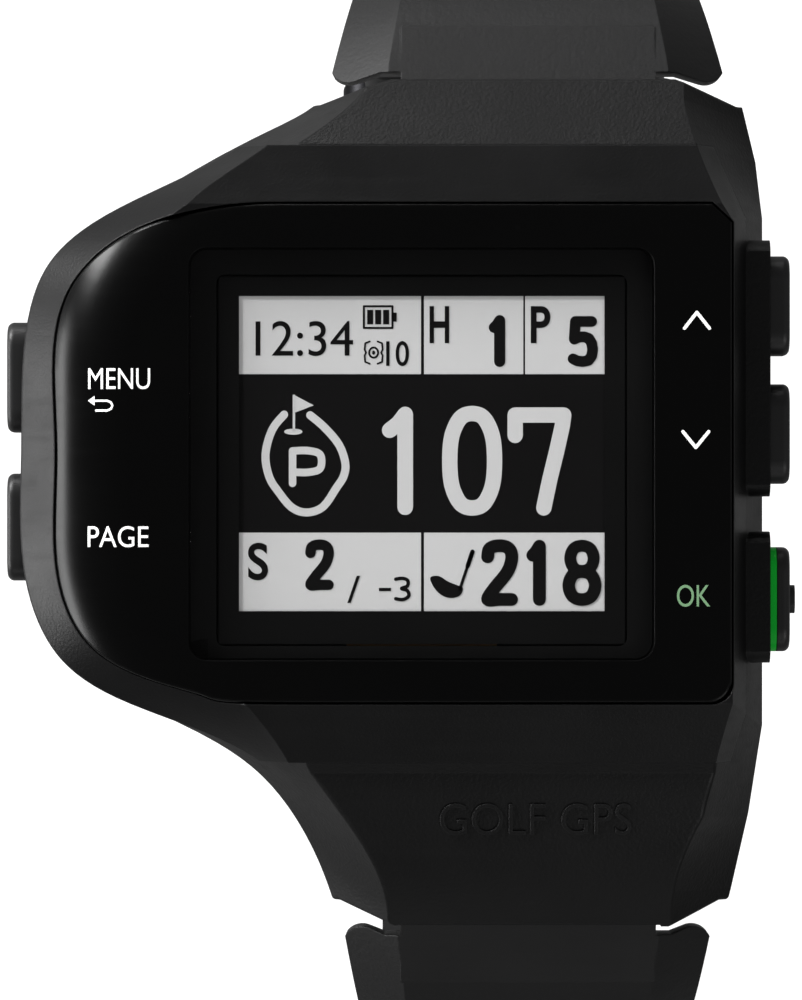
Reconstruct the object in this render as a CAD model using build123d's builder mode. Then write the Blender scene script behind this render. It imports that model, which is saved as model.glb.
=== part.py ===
"""Golf GPS watch: an asymmetric wrist watch with a display, five side buttons and a two-piece resin strap.

Frame, in millimetres: +Z points up out of the face, +Y to twelve o'clock, +X to three o'clock.
The origin is the middle of the case back, where the watch rests on the wrist. The strap hangs below
it, unbuckled, so the whole watch stands face up on the ends of its strap.
"""

from build123d import *
from math import cos, degrees, radians, sin
import os

os.makedirs("parts", exist_ok=True)

# ---------------------------------------------------------------- driving dimensions
FACE_Z = 14.0  # flat of the face above the case back
COVER_Z = 11.2  # underside of the face cover
PARTING_Z = 9.8  # where the upper shell meets the case body
WAIST_Z = 4.3  # height at which the case is widest
UNDER_Z = 0.9  # underside of the case body, around the case back's plinth
BACK_RIM_Z = 2.1  # the ledge that the case back seals against
GASKET_T = 0.25  # thickness of the gasket between them
CAVITY_Z = 3.0  # floor of the main cavity, above the ledge that the case back seals on
SHELL_Y = (-17.2, 23.9)  # the creases between which the upper shell lies

FACE_TOP_Y, FACE_LOW_Y = 19.95, -13.2  # the flat of the face, front to back
FACE_RIGHT_X, WING_X = 13.35, -31.5  # the cover's right edge and its furthest point left
COVER_SEAM = 1.0055  # its recess's size over its own
ROLL_R = 6.8  # how softly the wing's edge rolls down
WING_ROOT_X = -10.0  # where the wing joins the rest of the upper shell
EDGE_R = 0.3  # how far the case's edges are softened

PIVOT_Y, PIVOT_Z = 25.8, 5.0  # axis of each spring bar, at +Y and -Y
KNUCKLE_R, KNUCKLE_W = 3.0, 17.2  # the strap's hinged end
KNUCKLE_GAP = 0.3  # room around it in the case
BAR_R, BAR_BORE_R, BAR_TIP_R, TIP_BORE_R = 0.9, 0.95, 0.5, 0.55

WINDOW_X, WINDOW_Y = (-22.6, 8.15), (-10.3, 16.95)
LCD_X, LCD_Y = (-20.7, 6.3), (-9.3, 15.1)
LCD_T, BAY_GAP = 1.25, 0.3  # the panel's thickness and how much larger its bay is
LEDGE_Z, WINDOW_FOOT_Z, WINDOW_RISE = 12.6, 12.8, 0.3  # its window's ledge, underside and raised middle
LIGHT_SIZE, LIGHT_SHIFT = (23.0, 19.0), 0.8  # the shell's opening for the backlight, towards twelve o'clock
FLEX_W, FLEX_T = 10.0, 0.2

BUTTON_Z, CAP_H, CAP_T = 7.2, 4.2, 2.1
TRAVEL = 0.7
CAP_GAP = 0.12  # between a cap and its pocket
STEM_R, STEM_BORE_R = 0.8, 0.85
WALL_T = 1.8  # case wall behind a button's pocket
RIGHT_FLOOR_X, LEFT_FLOOR_X = 14.6, -32.1  # floors of the buttons' pockets
BUTTONS = {  # name: (side, middle of the cap in Y, length of the cap)
    "up": (1, 13.3, 6.7),
    "down": (1, 4.7, 6.7),
    "ok": (1, -6.4, 7.0),
    "menu": (-1, 8.5, 7.4),
    "page": (-1, -1.55, 7.2),
}
SPRING_TURNS = 3.0
CLIP_T = 0.36
BOARD_Z, BOARD_T = 4.9, 0.8
ANTENNA_SPOT, ANTENNA_SIDE, ANTENNA_T = (-20.2, 3.8), 12.0, 3.6
CAN_X, CAN_Y, CAN_T, CAN_WALL = 11.4, 10.6, 1.4, 0.2  # the radio's screening can
BATTERY_SPOT, BATTERY_SIZE = (-2.4, 2.4), (20.8, 21.6, 3.7)
SCREW_HEAD_R, SCREW_R, SCREW_SINK = 1.25, 0.6, 0.25
PIN_ROW, PIN_PITCH, PIN_COUNT, PIN_PAD_R, PIN_CORE_R = (-5.0, -10.4), 2.54, 4, 0.8, 0.35

HEADING = -33.0  # degrees, the way each strap leaves the case
STRAP_RISE = 0.7  # its middle plane passes this far above the spring bar
ROOT_RUN, BEND_R = 5.0, 18.0
SWEEP_R, SWEEP_ANGLE = 110.0, 21.5  # the upper strap's long curve below the bend
DROP, HEEL_R, SOLE = 25.6, 24.0, 14.0  # the lower strap's straight fall, its turn under and flat end
ROOT_T, STRAP_T = 4.6, 2.8
UPPER_SHOULDER, LOWER_SHOULDER, STRAP_HALF = 13.4, 12.5, 10.0  # half widths
UPPER_NIP, LOWER_NIP = (10.0, 29.15, 28.05), (9.7, 29.1, 27.95)  # shoulder's edge: flat to X at Y, then to Y
SHOULDER_CORNER_R = 1.3
TRIM_REACH, TRIM_DROP = 32.0, 20.0  # how far out, and how far up and down, the straps are trimmed to their shoulders
TAPER_END = 30.0  # distance along the strap at which it has its final width and thickness
HOLE_PITCH, HOLE_COUNT, HOLE_R = 5.2, 9, 1.3

BUCKLE_HALF, BUCKLE_ARM, BUCKLE_REACH = 13.0, 2.4, 11.0
BUCKLE_T, BUCKLE_EYE_R, TONGUE_W, TONGUE_SLOT = 2.4, 1.9, 2.6, 3.2
KEEPER_W, KEEPER_T, KEEPER_ROOM = 5.0, 1.2, 3.3
FIXED_GAP, FIXED_BACK = 0.12, 8.5  # its fit round the strap, and its distance back from the bar
SLIDING_GAP, SLIDING_BACK = 0.25, 25.0


def finish(part, label):
    """Labels a finished piece and writes it to its own STEP file."""
    part.label = label
    export_step(part, f"parts/{label}.step")


def middle(span):
    """The middle of a (low, high) pair."""
    return (span[0] + span[1]) / 2


def size(span):
    """The length of a (low, high) pair."""
    return span[1] - span[0]


# ---------------------------------------------------------------- the outer form of the case
# Each outline is its straight right-hand side, from the lower end to the upper one, then the points
# of the smooth sweep round the wing and back.
UNDERSIDE = (
    [(-10.6, -31), (11.0, -31), (12.2, -26), (13.2, -20.9), (13.6, -15.1), (13.6, 19.5)]
    + [(13.2, 23.1), (12.6, 25.9), (11.6, 31), (-10.6, 31)],
    [(-12.0, 26.4), (-15.2, 23.8), (-23, 19.4), (-28.4, 15.0), (-29.7, 11.0), (-30.2, 3.7)]
    + [(-29.6, -4.6), (-27.8, -8.4), (-21.2, -12.9), (-15.6, -16.9), (-13.5, -20.4), (-12.1, -25.3)],
)
WAIST = (
    [(-12.2, -31), (12.6, -31), (13.85, -26), (15.0, -20.9), (15.9, -15.1), (15.9, 19.5)]
    + [(15.5, 23.1), (14.85, 25.9), (13.6, 31), (-12.2, 31)],
    [(-13.9, 27.5), (-17.8, 25.2), (-26.5, 20.3), (-32.4, 15.2), (-33.6, 11.5), (-33.9, 3.7)]
    + [(-33.3, -6.3), (-31.4, -9.9), (-23.8, -14.8), (-18.1, -18.4), (-15.7, -21.4), (-13.7, -25.5)],
)
CROWN = (
    [(-2, -31), (1.5, -31), (5.8, -26), (10.2, -20.9), (13.4, -13.2), (13.4, 18.8)]
    + [(10.1, 24.1), (7.1, 27.9), (4.5, 31), (-6, 31)],
    [(-8.5, 28), (-13.5, 24.4), (-22.5, 20.4), (-30.6, 15.0), (-32.4, 11.0), (-32.8, 3.7)]
    + [(-32.2, -5.0), (-30.2, -8.6), (-21.2, -13.6), (-14.9, -16.4), (-12.3, -19.4), (-7, -25.3)],
)
# The wing of the upper shell, at its parting line and where its flank would meet the face.
WING_LOW = [(-19.4, 23.9), (-26.3, 20.4), (-32.4, 15.7), (-33.7, 11.5), (-34.0, 3.7), (-33.4, -6.4)]
WING_LOW += [(-31.5, -10.2), (-24.3, -14.3), (-18.1, -17.2)]
WING_HIGH = [(-16.0, 23.9), (-23.2, 19.6), (-27.6, 15.2), (-29.1, 11.0), (-29.4, 3.7), (-28.8, -4.2)]
WING_HIGH += [(-26.8, -7.6), (-20.8, -12.0), (-15.0, -17.2)]

with BuildPart() as body_form:
    for height, (corners, sweep_points) in ((UNDER_Z, UNDERSIDE), (WAIST_Z, WAIST), (FACE_Z, CROWN)):
        with BuildSketch(Plane.XY.offset(height)):
            with BuildLine():
                Polyline(*corners)
                Spline(corners[-1], *sweep_points, corners[0])
            make_face()
    loft(ruled=True)

with BuildPart() as wing_form:
    for height, sweep_points in ((PARTING_Z, WING_LOW), (FACE_Z, WING_HIGH)):
        with BuildSketch(Plane.XY.offset(height)):
            with BuildLine():
                root = [(WING_ROOT_X, SHELL_Y[0]), (WING_ROOT_X, SHELL_Y[1])]
                Polyline(sweep_points[-1], *root, sweep_points[0])
                Spline(*sweep_points)
            make_face()
    loft(ruled=True)

# The case seen from three o'clock: lugs, creases, face and underside.
with BuildPart() as side_form:
    with BuildSketch(Plane.YZ.offset(-40)):
        with BuildLine():
            Polyline(
                (-17.9, 12.0), (-17.2, 12.55), (FACE_LOW_Y, FACE_Z), (FACE_TOP_Y, FACE_Z), (23.9, 12.2),
                (30.5, 7.45), (30.5, 2.6), (23.0, UNDER_Z), (-23.0, UNDER_Z), (-30.5, 2.6), (-30.5, 6.6),
            )
            ThreePointArc((-30.5, 6.6), (-24.4, 10.1), (-17.9, 12.0))
        make_face()
    extrude(amount=60)

# The ends of the case seen from above, nipped in at the corners.
with BuildPart() as end_form:
    with BuildSketch(Plane.XY.offset(-1)):
        Polygon(
            (-9.2, 28.5), (9.8, 28.5), (14.1, 26.9), (20, 26.9), (20, -26.8), (12.9, -26.8), (9.4, -28.4),
            (-8.8, -28.4), (-12.7, -26.8), (-40, -26.8), (-40, 27.0), (-14.0, 27.0), align=None,
        )
    extrude(amount=17)

# The flat face with its edge rolled down around the wing, and bevelled at the right.
with BuildPart() as dome_form:
    with BuildSketch(Plane.XY.offset(3)):
        with BuildLine():
            Line((-15.5, -20.2), (20, -20.2))
            Line((20, -20.2), (20, 26.8))
            Line((20, 26.8), (-15.5, 26.8))
            RadiusArc((-15.5, 26.8), (-33.5, 8.8), -18)
            Line((-33.5, 8.8), (-33.5, -2.2))
            RadiusArc((-33.5, -2.2), (-15.5, -20.2), -18)
        make_face()
    extrude(amount=FACE_Z - 3)
    rim = dome_form.faces().sort_by(Axis.Z)[-1].edges()
    rolled = rim.filter_by(lambda edge: (edge @ 0.5).X < -16)
    fillet(rolled, ROLL_R)

with BuildPart() as bevel_form:
    with BuildSketch(Plane.XZ.offset(-40)):
        Polygon(
            (-40, -1), (20, -1), (20, 8), (14.55, 12.75), (FACE_RIGHT_X + 0.1, FACE_Z), (-40, FACE_Z),
            align=None,
        )
    extrude(amount=80)


# The face cover seen from above.
with BuildPart() as cover_plan:
    with BuildSketch(Plane.XY.offset(COVER_Z)) as cover_outline:
        with BuildLine():
            right_low, right_top = (FACE_RIGHT_X, FACE_LOW_Y + 1.5), (FACE_RIGHT_X, FACE_TOP_Y - 1.3)
            RadiusArc((FACE_RIGHT_X - 1.5, FACE_LOW_Y), right_low, -1.5)
            Polyline(right_low, right_top, (FACE_RIGHT_X - 1.4, FACE_TOP_Y), (-17, FACE_TOP_Y))
            Spline(
                (-17, FACE_TOP_Y), (-22.5, 19.35), (-27.6, 17.4), (-30.4, 14.6), (WING_X, 3.7),
                (-30.8, -6.9), (-28.7, -9.9), (-22.0, -12.6), (-14, FACE_LOW_Y), tangents=[(-1, 0), (1, 0)],
            )
            Line((-14, FACE_LOW_Y), (FACE_RIGHT_X - 1.5, FACE_LOW_Y))
        make_face()
    extrude(amount=FACE_Z - COVER_Z)

# The recess it lies in, a hair larger all round.
cover_middle = (middle((WING_X, FACE_RIGHT_X)), middle((FACE_LOW_Y, FACE_TOP_Y)))
with BuildPart() as cover_pocket:
    with BuildSketch(Plane(origin=(*cover_middle, COVER_Z))):
        add(cover_outline.sketch_local.moved(Location((-cover_middle[0], -cover_middle[1], 0))))
        scale(by=COVER_SEAM)
    extrude(amount=FACE_Z)

# The whole outside of the case, with its edges softened except where one is too short or shallow for it.
LEFT_SHARP = [(15.9, 2.2, 4.3), (-9.1, -28.3, 8.1), (9.4, -28.4, 5.1), (12.9, -26.8, 3.9), (11.1, 23.9, 12.2)]
LEFT_SHARP += [(13.3, 23.5, 8.2), (14.4, 26.9, 3.9), (14.1, 26.9, 4.2), (10.4, 27.7, 9.5), (10.6, 25.5, 11.1)]
LEFT_SHARP += [(-2.2, 23.9, 12.2)]


def softened(edge):
    """Whether an edge of the case's form is rounded."""
    spot = edge @ 0.5
    under_cover = spot.X < -13 and spot.Z > FACE_Z - 1.1
    at_foot = spot.Z < UNDER_Z + 0.6
    sharp = any((spot - Vector(*place)).length < 0.15 for place in LEFT_SHARP)
    return not (under_cover or at_foot or sharp)


with BuildPart() as case_form:
    add(body_form)
    add(side_form, mode=Mode.INTERSECT)
    add(end_form, mode=Mode.INTERSECT)
    fillet(case_form.edges().filter_by(softened), EDGE_R)

# Everything above the parting line between the two creases.
with BuildPart() as shell_zone:
    with BuildSketch(Plane.XY.offset(PARTING_Z)):
        with Locations((-10, middle(SHELL_Y))):
            Rectangle(60, size(SHELL_Y))
    extrude(amount=FACE_Z)


def side_plane(side, x):
    """The plane across the case at x that faces outward on one side, with its own X along the case."""
    return Plane(origin=(x, 0, BUTTON_Z), x_dir=(0, side, 0), z_dir=(side, 0, 0))


def floor_x(side):
    """Where the floor of a button's pocket is."""
    return RIGHT_FLOOR_X if side > 0 else LEFT_FLOOR_X


# ---------------------------------------------------------------- case
with BuildPart() as case_body:
    add(case_form)
    # Raised bosses that the right-hand buttons sit in.
    for boss_y, boss_length in ((9.1, 17.2), (-6.25, 8.8)):
        with BuildSketch(side_plane(1, 12)) as boss:
            with Locations((boss_y, 0)):
                RectangleRounded(boss_length, CAP_H + 1.5, 1.6)
        extrude(amount=4.15)
    add(end_form, mode=Mode.INTERSECT)
    add(bevel_form, mode=Mode.INTERSECT)
    add(shell_zone, mode=Mode.SUBTRACT)

    # The main cavity, the ledge under it and the rebate for the case back.
    cavity = [(-30.3, -4.9), (-27.0, -8.7), (-15.4, -14.4), (12.8, -14.4), (12.8, 18.4), (10.6, 20.2)]
    cavity += [(-14.6, 20.2), (-26.8, 15.3), (-30.3, 11.3)]
    with BuildSketch(Plane.XY.offset(CAVITY_Z)):
        Polygon(*cavity, align=None)
        fillet(vertices(), 1.0)
    extrude(amount=PARTING_Z, mode=Mode.SUBTRACT)
    opening = [(-24.7, -4.6), (-21.9, -7.3), (-13.4, -12.4), (8.9, -12.4), (8.9, 16.4)]
    opening += [(-13.2, 17.8), (-22.7, 13.6), (-24.7, 10.9)]
    with BuildSketch(Plane.XY):
        Polygon(*opening, align=None)
        fillet(vertices(), 1.5)
    extrude(amount=CAVITY_Z + 0.1, mode=Mode.SUBTRACT)
    rebate = [(-27.6, -5.4), (-23.6, -9.0), (-14.2, -15.1), (11.7, -15.1), (11.7, 18.9), (10.2, 20.8)]
    rebate += [(-14.0, 20.8), (-24.4, 15.7), (-27.6, 12.0)]
    with BuildSketch(Plane.XY) as rebate_outline:
        Polygon(*rebate, align=None)
        fillet(vertices(), 2.0)
    extrude(amount=BACK_RIM_Z, mode=Mode.SUBTRACT)

    # A slot at each end for the strap's knuckle, open outward and below, and the spring bar's holes.
    for end in (1, -1):
        pivot_plane = Plane(origin=(0, end * PIVOT_Y, PIVOT_Z), x_dir=(0, end, 0), z_dir=(end, 0, 0))
        half = KNUCKLE_W / 2 + KNUCKLE_GAP
        with BuildSketch(pivot_plane.offset(-half)):
            Circle(KNUCKLE_R + KNUCKLE_GAP)
            Polygon((0, 3.3), (2.1, 3.15), (8, 2.4), (8, -7), (-3.3, -7), (-3.3, 0), align=None)
        extrude(amount=2 * half, mode=Mode.SUBTRACT)
        with BuildSketch(pivot_plane.offset(-KNUCKLE_W / 2 - 2.2)):
            Circle(TIP_BORE_R)
        extrude(amount=KNUCKLE_W + 4.4, mode=Mode.SUBTRACT)

    # A pocket for each cap, a seat for its spring, a groove for its seal and a bore for its stem.
    for side, cap_y, cap_length in BUTTONS.values():
        axis = (side * cap_y, 0)
        floor = side_plane(side, floor_x(side))
        with BuildSketch(floor):
            with Locations(axis):
                RectangleRounded(cap_length + 2 * CAP_GAP, CAP_H + 2 * CAP_GAP, 1.5 + CAP_GAP)
        extrude(amount=5, mode=Mode.SUBTRACT)
        for start, depth, radius in ((0, -0.6, 1.65), (-0.9, -0.55, 1.4), (0, -WALL_T - 0.5, STEM_BORE_R)):
            with BuildSketch(floor.offset(start)):
                with Locations(axis):
                    Circle(radius)
            extrude(amount=depth, mode=Mode.SUBTRACT)

    # Threaded holes for the case back's screws, up from the ledge.
    SCREWS = [(10.25, 17.0), (10.2, -13.4), (-13.0, -13.7), (-26.15, -3.4), (-26.15, 10.5), (-12.4, 19.3)]
    with BuildSketch(Plane.XY.offset(BACK_RIM_Z)):
        with Locations(*SCREWS):
            Circle(0.62)
    extrude(amount=0.8, mode=Mode.SUBTRACT)

finish(case_body.part, "case_body")


with BuildPart() as upper_shell:
    add(body_form)
    with BuildSketch(Plane.XY.offset(PARTING_Z)):
        with Locations((WING_ROOT_X + 15, middle(SHELL_Y))):
            Rectangle(30, size(SHELL_Y))
    extrude(amount=FACE_Z, mode=Mode.INTERSECT)
    add(wing_form)
    add(side_form, mode=Mode.INTERSECT)
    add(bevel_form, mode=Mode.INTERSECT)
    add(cover_pocket, mode=Mode.SUBTRACT)
    # Openings in its floor for the backlight and the display's flex.
    with BuildSketch(Plane.XY.offset(PARTING_Z - 1)):
        with Locations((middle(LCD_X), middle(LCD_Y) + LIGHT_SHIFT)):
            RectangleRounded(*LIGHT_SIZE, 1)
        with Locations((middle(LCD_X), -11.05)):
            Rectangle(FLEX_W + 1, 0.9)
    extrude(amount=4, mode=Mode.SUBTRACT)
finish(upper_shell.part, "upper_shell")

with BuildPart() as face_cover:
    add(cover_plan)
    add(dome_form, mode=Mode.INTERSECT)
    top_edges = face_cover.faces().sort_by(Axis.Z)[-1].edges()
    fillet(top_edges.filter_by(GeomType.LINE).filter_by(Axis.X), 0.25)
    # The display's bay from below, the flex's way out of it, and the ledge and frame for the window.
    with BuildSketch(Plane.XY.offset(COVER_Z)):
        with Locations((middle(LCD_X), middle(LCD_Y))):
            RectangleRounded(size(LCD_X) + BAY_GAP, size(LCD_Y) + BAY_GAP, 0.6)
        with Locations((middle(LCD_X), -10.4)):
            Rectangle(FLEX_W + 1, 2.4)
    extrude(amount=0.6, mode=Mode.SUBTRACT)
    with BuildSketch(Plane.XY.offset(COVER_Z)):
        with Locations((middle(LCD_X), middle(LCD_Y))):
            RectangleRounded(size(LCD_X) + BAY_GAP, size(LCD_Y) + BAY_GAP, 0.6)
    extrude(amount=FACE_Z, mode=Mode.SUBTRACT)
    with BuildSketch(Plane.XY.offset(LEDGE_Z)):
        with Locations((middle(WINDOW_X), middle(WINDOW_Y))):
            RectangleRounded(size(WINDOW_X) + 0.1, size(WINDOW_Y) + 0.1, 1.25)
    extrude(amount=FACE_Z, mode=Mode.SUBTRACT)
finish(face_cover.part, "face_cover")

with BuildPart() as display_window:
    with BuildSketch(Plane.XY.offset(WINDOW_FOOT_Z)):
        with Locations((middle(WINDOW_X), middle(WINDOW_Y))):
            RectangleRounded(size(WINDOW_X), size(WINDOW_Y), 1.2)
    extrude(amount=FACE_Z - WINDOW_FOOT_Z)
    # Its raised middle has a broad bevel on the left, a narrower one at the top and almost none elsewhere.
    with BuildSketch(Plane.XY.offset(FACE_Z)):
        with Locations((middle(WINDOW_X), middle(WINDOW_Y))):
            RectangleRounded(size(WINDOW_X), size(WINDOW_Y), 1.2)
    with BuildSketch(Plane.XY.offset(FACE_Z + WINDOW_RISE)):
        with Locations((middle(WINDOW_X) + 0.5, middle(WINDOW_Y) - 0.2)):
            RectangleRounded(size(WINDOW_X) - 1.3, size(WINDOW_Y) - 0.7, 1.2)
    loft(ruled=True)
finish(display_window.part, "display_window")

with BuildPart() as window_gasket:
    with BuildSketch(Plane.XY.offset(LEDGE_Z)):
        with Locations((middle(WINDOW_X), middle(WINDOW_Y))):
            RectangleRounded(size(WINDOW_X) - 0.1, size(WINDOW_Y) - 0.1, 1.15)
        with Locations((middle(LCD_X), middle(LCD_Y))):
            RectangleRounded(size(LCD_X) + BAY_GAP, size(LCD_Y) + BAY_GAP, 0.6, mode=Mode.SUBTRACT)
    extrude(amount=WINDOW_FOOT_Z - LEDGE_Z)
finish(window_gasket.part, "window_gasket")

# ---------------------------------------------------------------- display and electronics
with BuildPart() as lcd_panel:
    with BuildSketch(Plane.XY.offset(COVER_Z)):
        with Locations((middle(LCD_X), middle(LCD_Y))):
            Rectangle(size(LCD_X), size(LCD_Y))
    extrude(amount=LCD_T)
finish(lcd_panel.part, "lcd_panel")

with BuildPart() as backlight:
    with BuildSketch(Plane.XY.offset(PARTING_Z)):
        with Locations((middle(LCD_X), middle(LCD_Y) + LIGHT_SHIFT)):
            RectangleRounded(LIGHT_SIZE[0] - 0.2, LIGHT_SIZE[1] - 0.2, 0.9)
    extrude(amount=COVER_Z - PARTING_Z)
finish(backlight.part, "backlight")

with BuildPart() as display_flex:
    # Out from under the panel's edge, down past the shell and back into its connector.
    with BuildSketch(Plane.YZ.offset(middle(LCD_X) - FLEX_W / 2)):
        with BuildLine():
            Polyline(
                (LCD_Y[0], COVER_Z), (-11.2, COVER_Z), (-11.2, 6.9), (-9.6, 6.9), (-9.6, 6.9 - FLEX_T),
                (-11.2 - FLEX_T, 6.9 - FLEX_T), (-11.2 - FLEX_T, COVER_Z + FLEX_T),
                (LCD_Y[0], COVER_Z + FLEX_T), (LCD_Y[0], COVER_Z),
            )
        make_face()
    extrude(amount=FLEX_W)
finish(display_flex.part, "display_flex")

with BuildPart() as main_board:
    with BuildSketch(Plane.XY.offset(BOARD_Z)):
        Polygon(
            (-29.0, -4.3), (-26.5, -7.5), (-15.2, -13.4), (11.3, -13.4), (11.3, 17.6), (9.8, 19.0),
            (-14.4, 19.0), (-26.3, 14.2), (-29.0, 10.9), align=None,
        )
        fillet(vertices(), 0.8)
    extrude(amount=BOARD_T)
    # Holes for the charging pins.
    with BuildSketch(Plane.XY.offset(BOARD_Z)):
        with Locations(PIN_ROW):
            with GridLocations(PIN_PITCH, 1, PIN_COUNT, 1):
                Circle(PIN_CORE_R)
    extrude(amount=BOARD_T, mode=Mode.SUBTRACT)
finish(main_board.part, "main_board")

BOARD_TOP = BOARD_Z + BOARD_T
STANDING = (Align.CENTER, Align.CENTER, Align.MIN)  # on the board
HANGING = (Align.CENTER, Align.CENTER, Align.MAX)  # under it
with BuildPart() as gps_antenna:
    # The ceramic block, the silvered patch on it and the solder of its feed.
    with Locations((*ANTENNA_SPOT, BOARD_TOP)):
        Box(ANTENNA_SIDE, ANTENNA_SIDE, ANTENNA_T, align=STANDING)
    with Locations((*ANTENNA_SPOT, BOARD_TOP + ANTENNA_T)):
        Box(0.8 * ANTENNA_SIDE, 0.8 * ANTENNA_SIDE, 0.2, align=STANDING)
    with Locations((ANTENNA_SPOT[0] + 1.3, ANTENNA_SPOT[1], BOARD_TOP + ANTENNA_T + 0.2)):
        Cylinder(0.5, 0.15, align=STANDING)
finish(gps_antenna.part, "gps_antenna")

with BuildPart() as battery:
    with Locations((*BATTERY_SPOT, BOARD_TOP + 0.1)):
        Box(*BATTERY_SIZE, align=STANDING)
    fillet(battery.edges().filter_by(Axis.Y), 1.2)
finish(battery.part, "battery")

with BuildPart() as battery_tabs:
    for tab_x in (-5.0, 0.2):
        with BuildSketch(Plane.YZ.offset(tab_x - 1)):
            Polygon(
                (13.2, 8.2), (14.5, 8.2), (14.5, 5.9), (16.0, 5.9), (16.0, BOARD_TOP), (14.3, BOARD_TOP),
                (14.3, 8.0), (13.2, 8.0), align=None,
            )
        extrude(amount=2)
finish(battery_tabs.part, "battery_tabs")

with BuildPart() as flex_connector:
    with Locations((middle(LCD_X), -9.1, BOARD_TOP)):
        Box(FLEX_W + 1, 1.3, 1.9, align=STANDING)
    with Locations((middle(LCD_X), -9.6, 6.8)):
        Box(FLEX_W + 0.2, 1.0, FLEX_T + 0.1, mode=Mode.SUBTRACT)
finish(flex_connector.part, "flex_connector")

with BuildPart() as shield_can:
    with Locations((*ANTENNA_SPOT, BOARD_Z)):
        Box(CAN_X, CAN_Y, CAN_T, align=HANGING)
    fillet(shield_can.edges().filter_by(Axis.Z), 0.6)
    with Locations((*ANTENNA_SPOT, BOARD_Z)):
        Box(CAN_X - 2 * CAN_WALL, CAN_Y - 2 * CAN_WALL, CAN_T - CAN_WALL, align=HANGING, mode=Mode.SUBTRACT)
finish(shield_can.part, "shield_can")

with BuildPart() as board_chips:
    for spot, width, depth in (((-7.5, 7), 7, 7), ((2.5, 8), 5, 4), ((3.5, -1.5), 6, 8), ((-8.5, -2), 4, 5)):
        with Locations((*spot, BOARD_Z)):
            Box(width, depth, 0.9, align=HANGING)
finish(board_chips.part, "board_chips")

with BuildPart() as buzzer:
    with Locations((-2.6, 3.0, BACK_RIM_Z - GASKET_T)):
        Cylinder(6.0, 0.25, align=STANDING)
        Cylinder(4.2, 0.5, align=STANDING)
finish(buzzer.part, "buzzer")

with BuildPart() as side_switches:
    for side, cap_y, cap_length in BUTTONS.values():
        face_x = floor_x(side) - side * (WALL_T + TRAVEL + 1.0)
        with Locations((face_x - side * 1.0, cap_y, BOARD_TOP)):
            Box(1.6, 4.0, 2.5, align=STANDING)
        with BuildSketch(side_plane(side, face_x - side * 0.2)):
            with Locations((side * cap_y, 0)):
                Circle(0.75)
        extrude(amount=0.2)
finish(side_switches.part, "side_switches")

# ---------------------------------------------------------------- case back
with BuildPart() as case_back:
    with BuildSketch(Plane.XY.offset(UNDER_Z)):
        add(rebate_outline.sketch)
        offset(amount=-0.08)
    extrude(amount=BACK_RIM_Z - GASKET_T - UNDER_Z)
    with BuildSketch(Plane.XY):
        add(rebate_outline.sketch)
        offset(amount=-0.6)
    extrude(amount=UNDER_Z)
    chamfer(case_back.faces().sort_by(Axis.Z)[0].edges(), 0.4)
    with BuildSketch(Plane.XY):
        with Locations(*SCREWS):
            Circle(SCREW_HEAD_R + 0.1)
    extrude(amount=1.1, mode=Mode.SUBTRACT)
    with BuildSketch(Plane.XY):
        with Locations(*SCREWS):
            Circle(SCREW_R + 0.2)
    extrude(amount=BACK_RIM_Z, mode=Mode.SUBTRACT)
    with BuildSketch(Plane.XY):
        with Locations(PIN_ROW):
            with GridLocations(PIN_PITCH, 1, PIN_COUNT, 1):
                Circle(PIN_PAD_R)
    extrude(amount=BACK_RIM_Z, mode=Mode.SUBTRACT)
finish(case_back.part, "case_back")

with BuildPart() as back_gasket:
    with BuildSketch(Plane.XY.offset(BACK_RIM_Z - GASKET_T)) as gasket_ring:
        Polygon(*opening, align=None)
        fillet(vertices(), 1.5)
        offset(amount=0.5)
        with BuildSketch(mode=Mode.PRIVATE) as gasket_hole:
            Polygon(*opening, align=None)
            fillet(vertices(), 1.5)
            offset(amount=0.1)
        add(gasket_hole.sketch, mode=Mode.SUBTRACT)
    extrude(amount=GASKET_T)
finish(back_gasket.part, "back_gasket")


with BuildPart() as back_screws:
    with BuildSketch(Plane.XY.offset(SCREW_SINK)):
        with Locations(*SCREWS):
            Circle(SCREW_HEAD_R)
    extrude(amount=0.85)
    with BuildSketch(Plane.XY.offset(SCREW_SINK)):
        with Locations(*SCREWS):
            Circle(SCREW_R)
    extrude(amount=2.55)
    with BuildSketch(Plane.XY.offset(SCREW_SINK)):
        with Locations(*SCREWS):
            Rectangle(1.3, 0.3)
            Rectangle(0.3, 1.3)
    extrude(amount=0.4, mode=Mode.SUBTRACT)
finish(back_screws.part, "back_screws")

with BuildPart() as charging_pins:
    with BuildSketch(Plane.XY.offset(0.1)):
        with Locations(PIN_ROW):
            with GridLocations(PIN_PITCH, 1, PIN_COUNT, 1):
                Circle(PIN_PAD_R)
    extrude(amount=1.6)
    with BuildSketch(Plane.XY.offset(0.1)):
        with Locations(PIN_ROW):
            with GridLocations(PIN_PITCH, 1, PIN_COUNT, 1):
                Circle(PIN_CORE_R)
    extrude(amount=BOARD_TOP + 0.3)
finish(charging_pins.part, "charging_pins")

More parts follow.
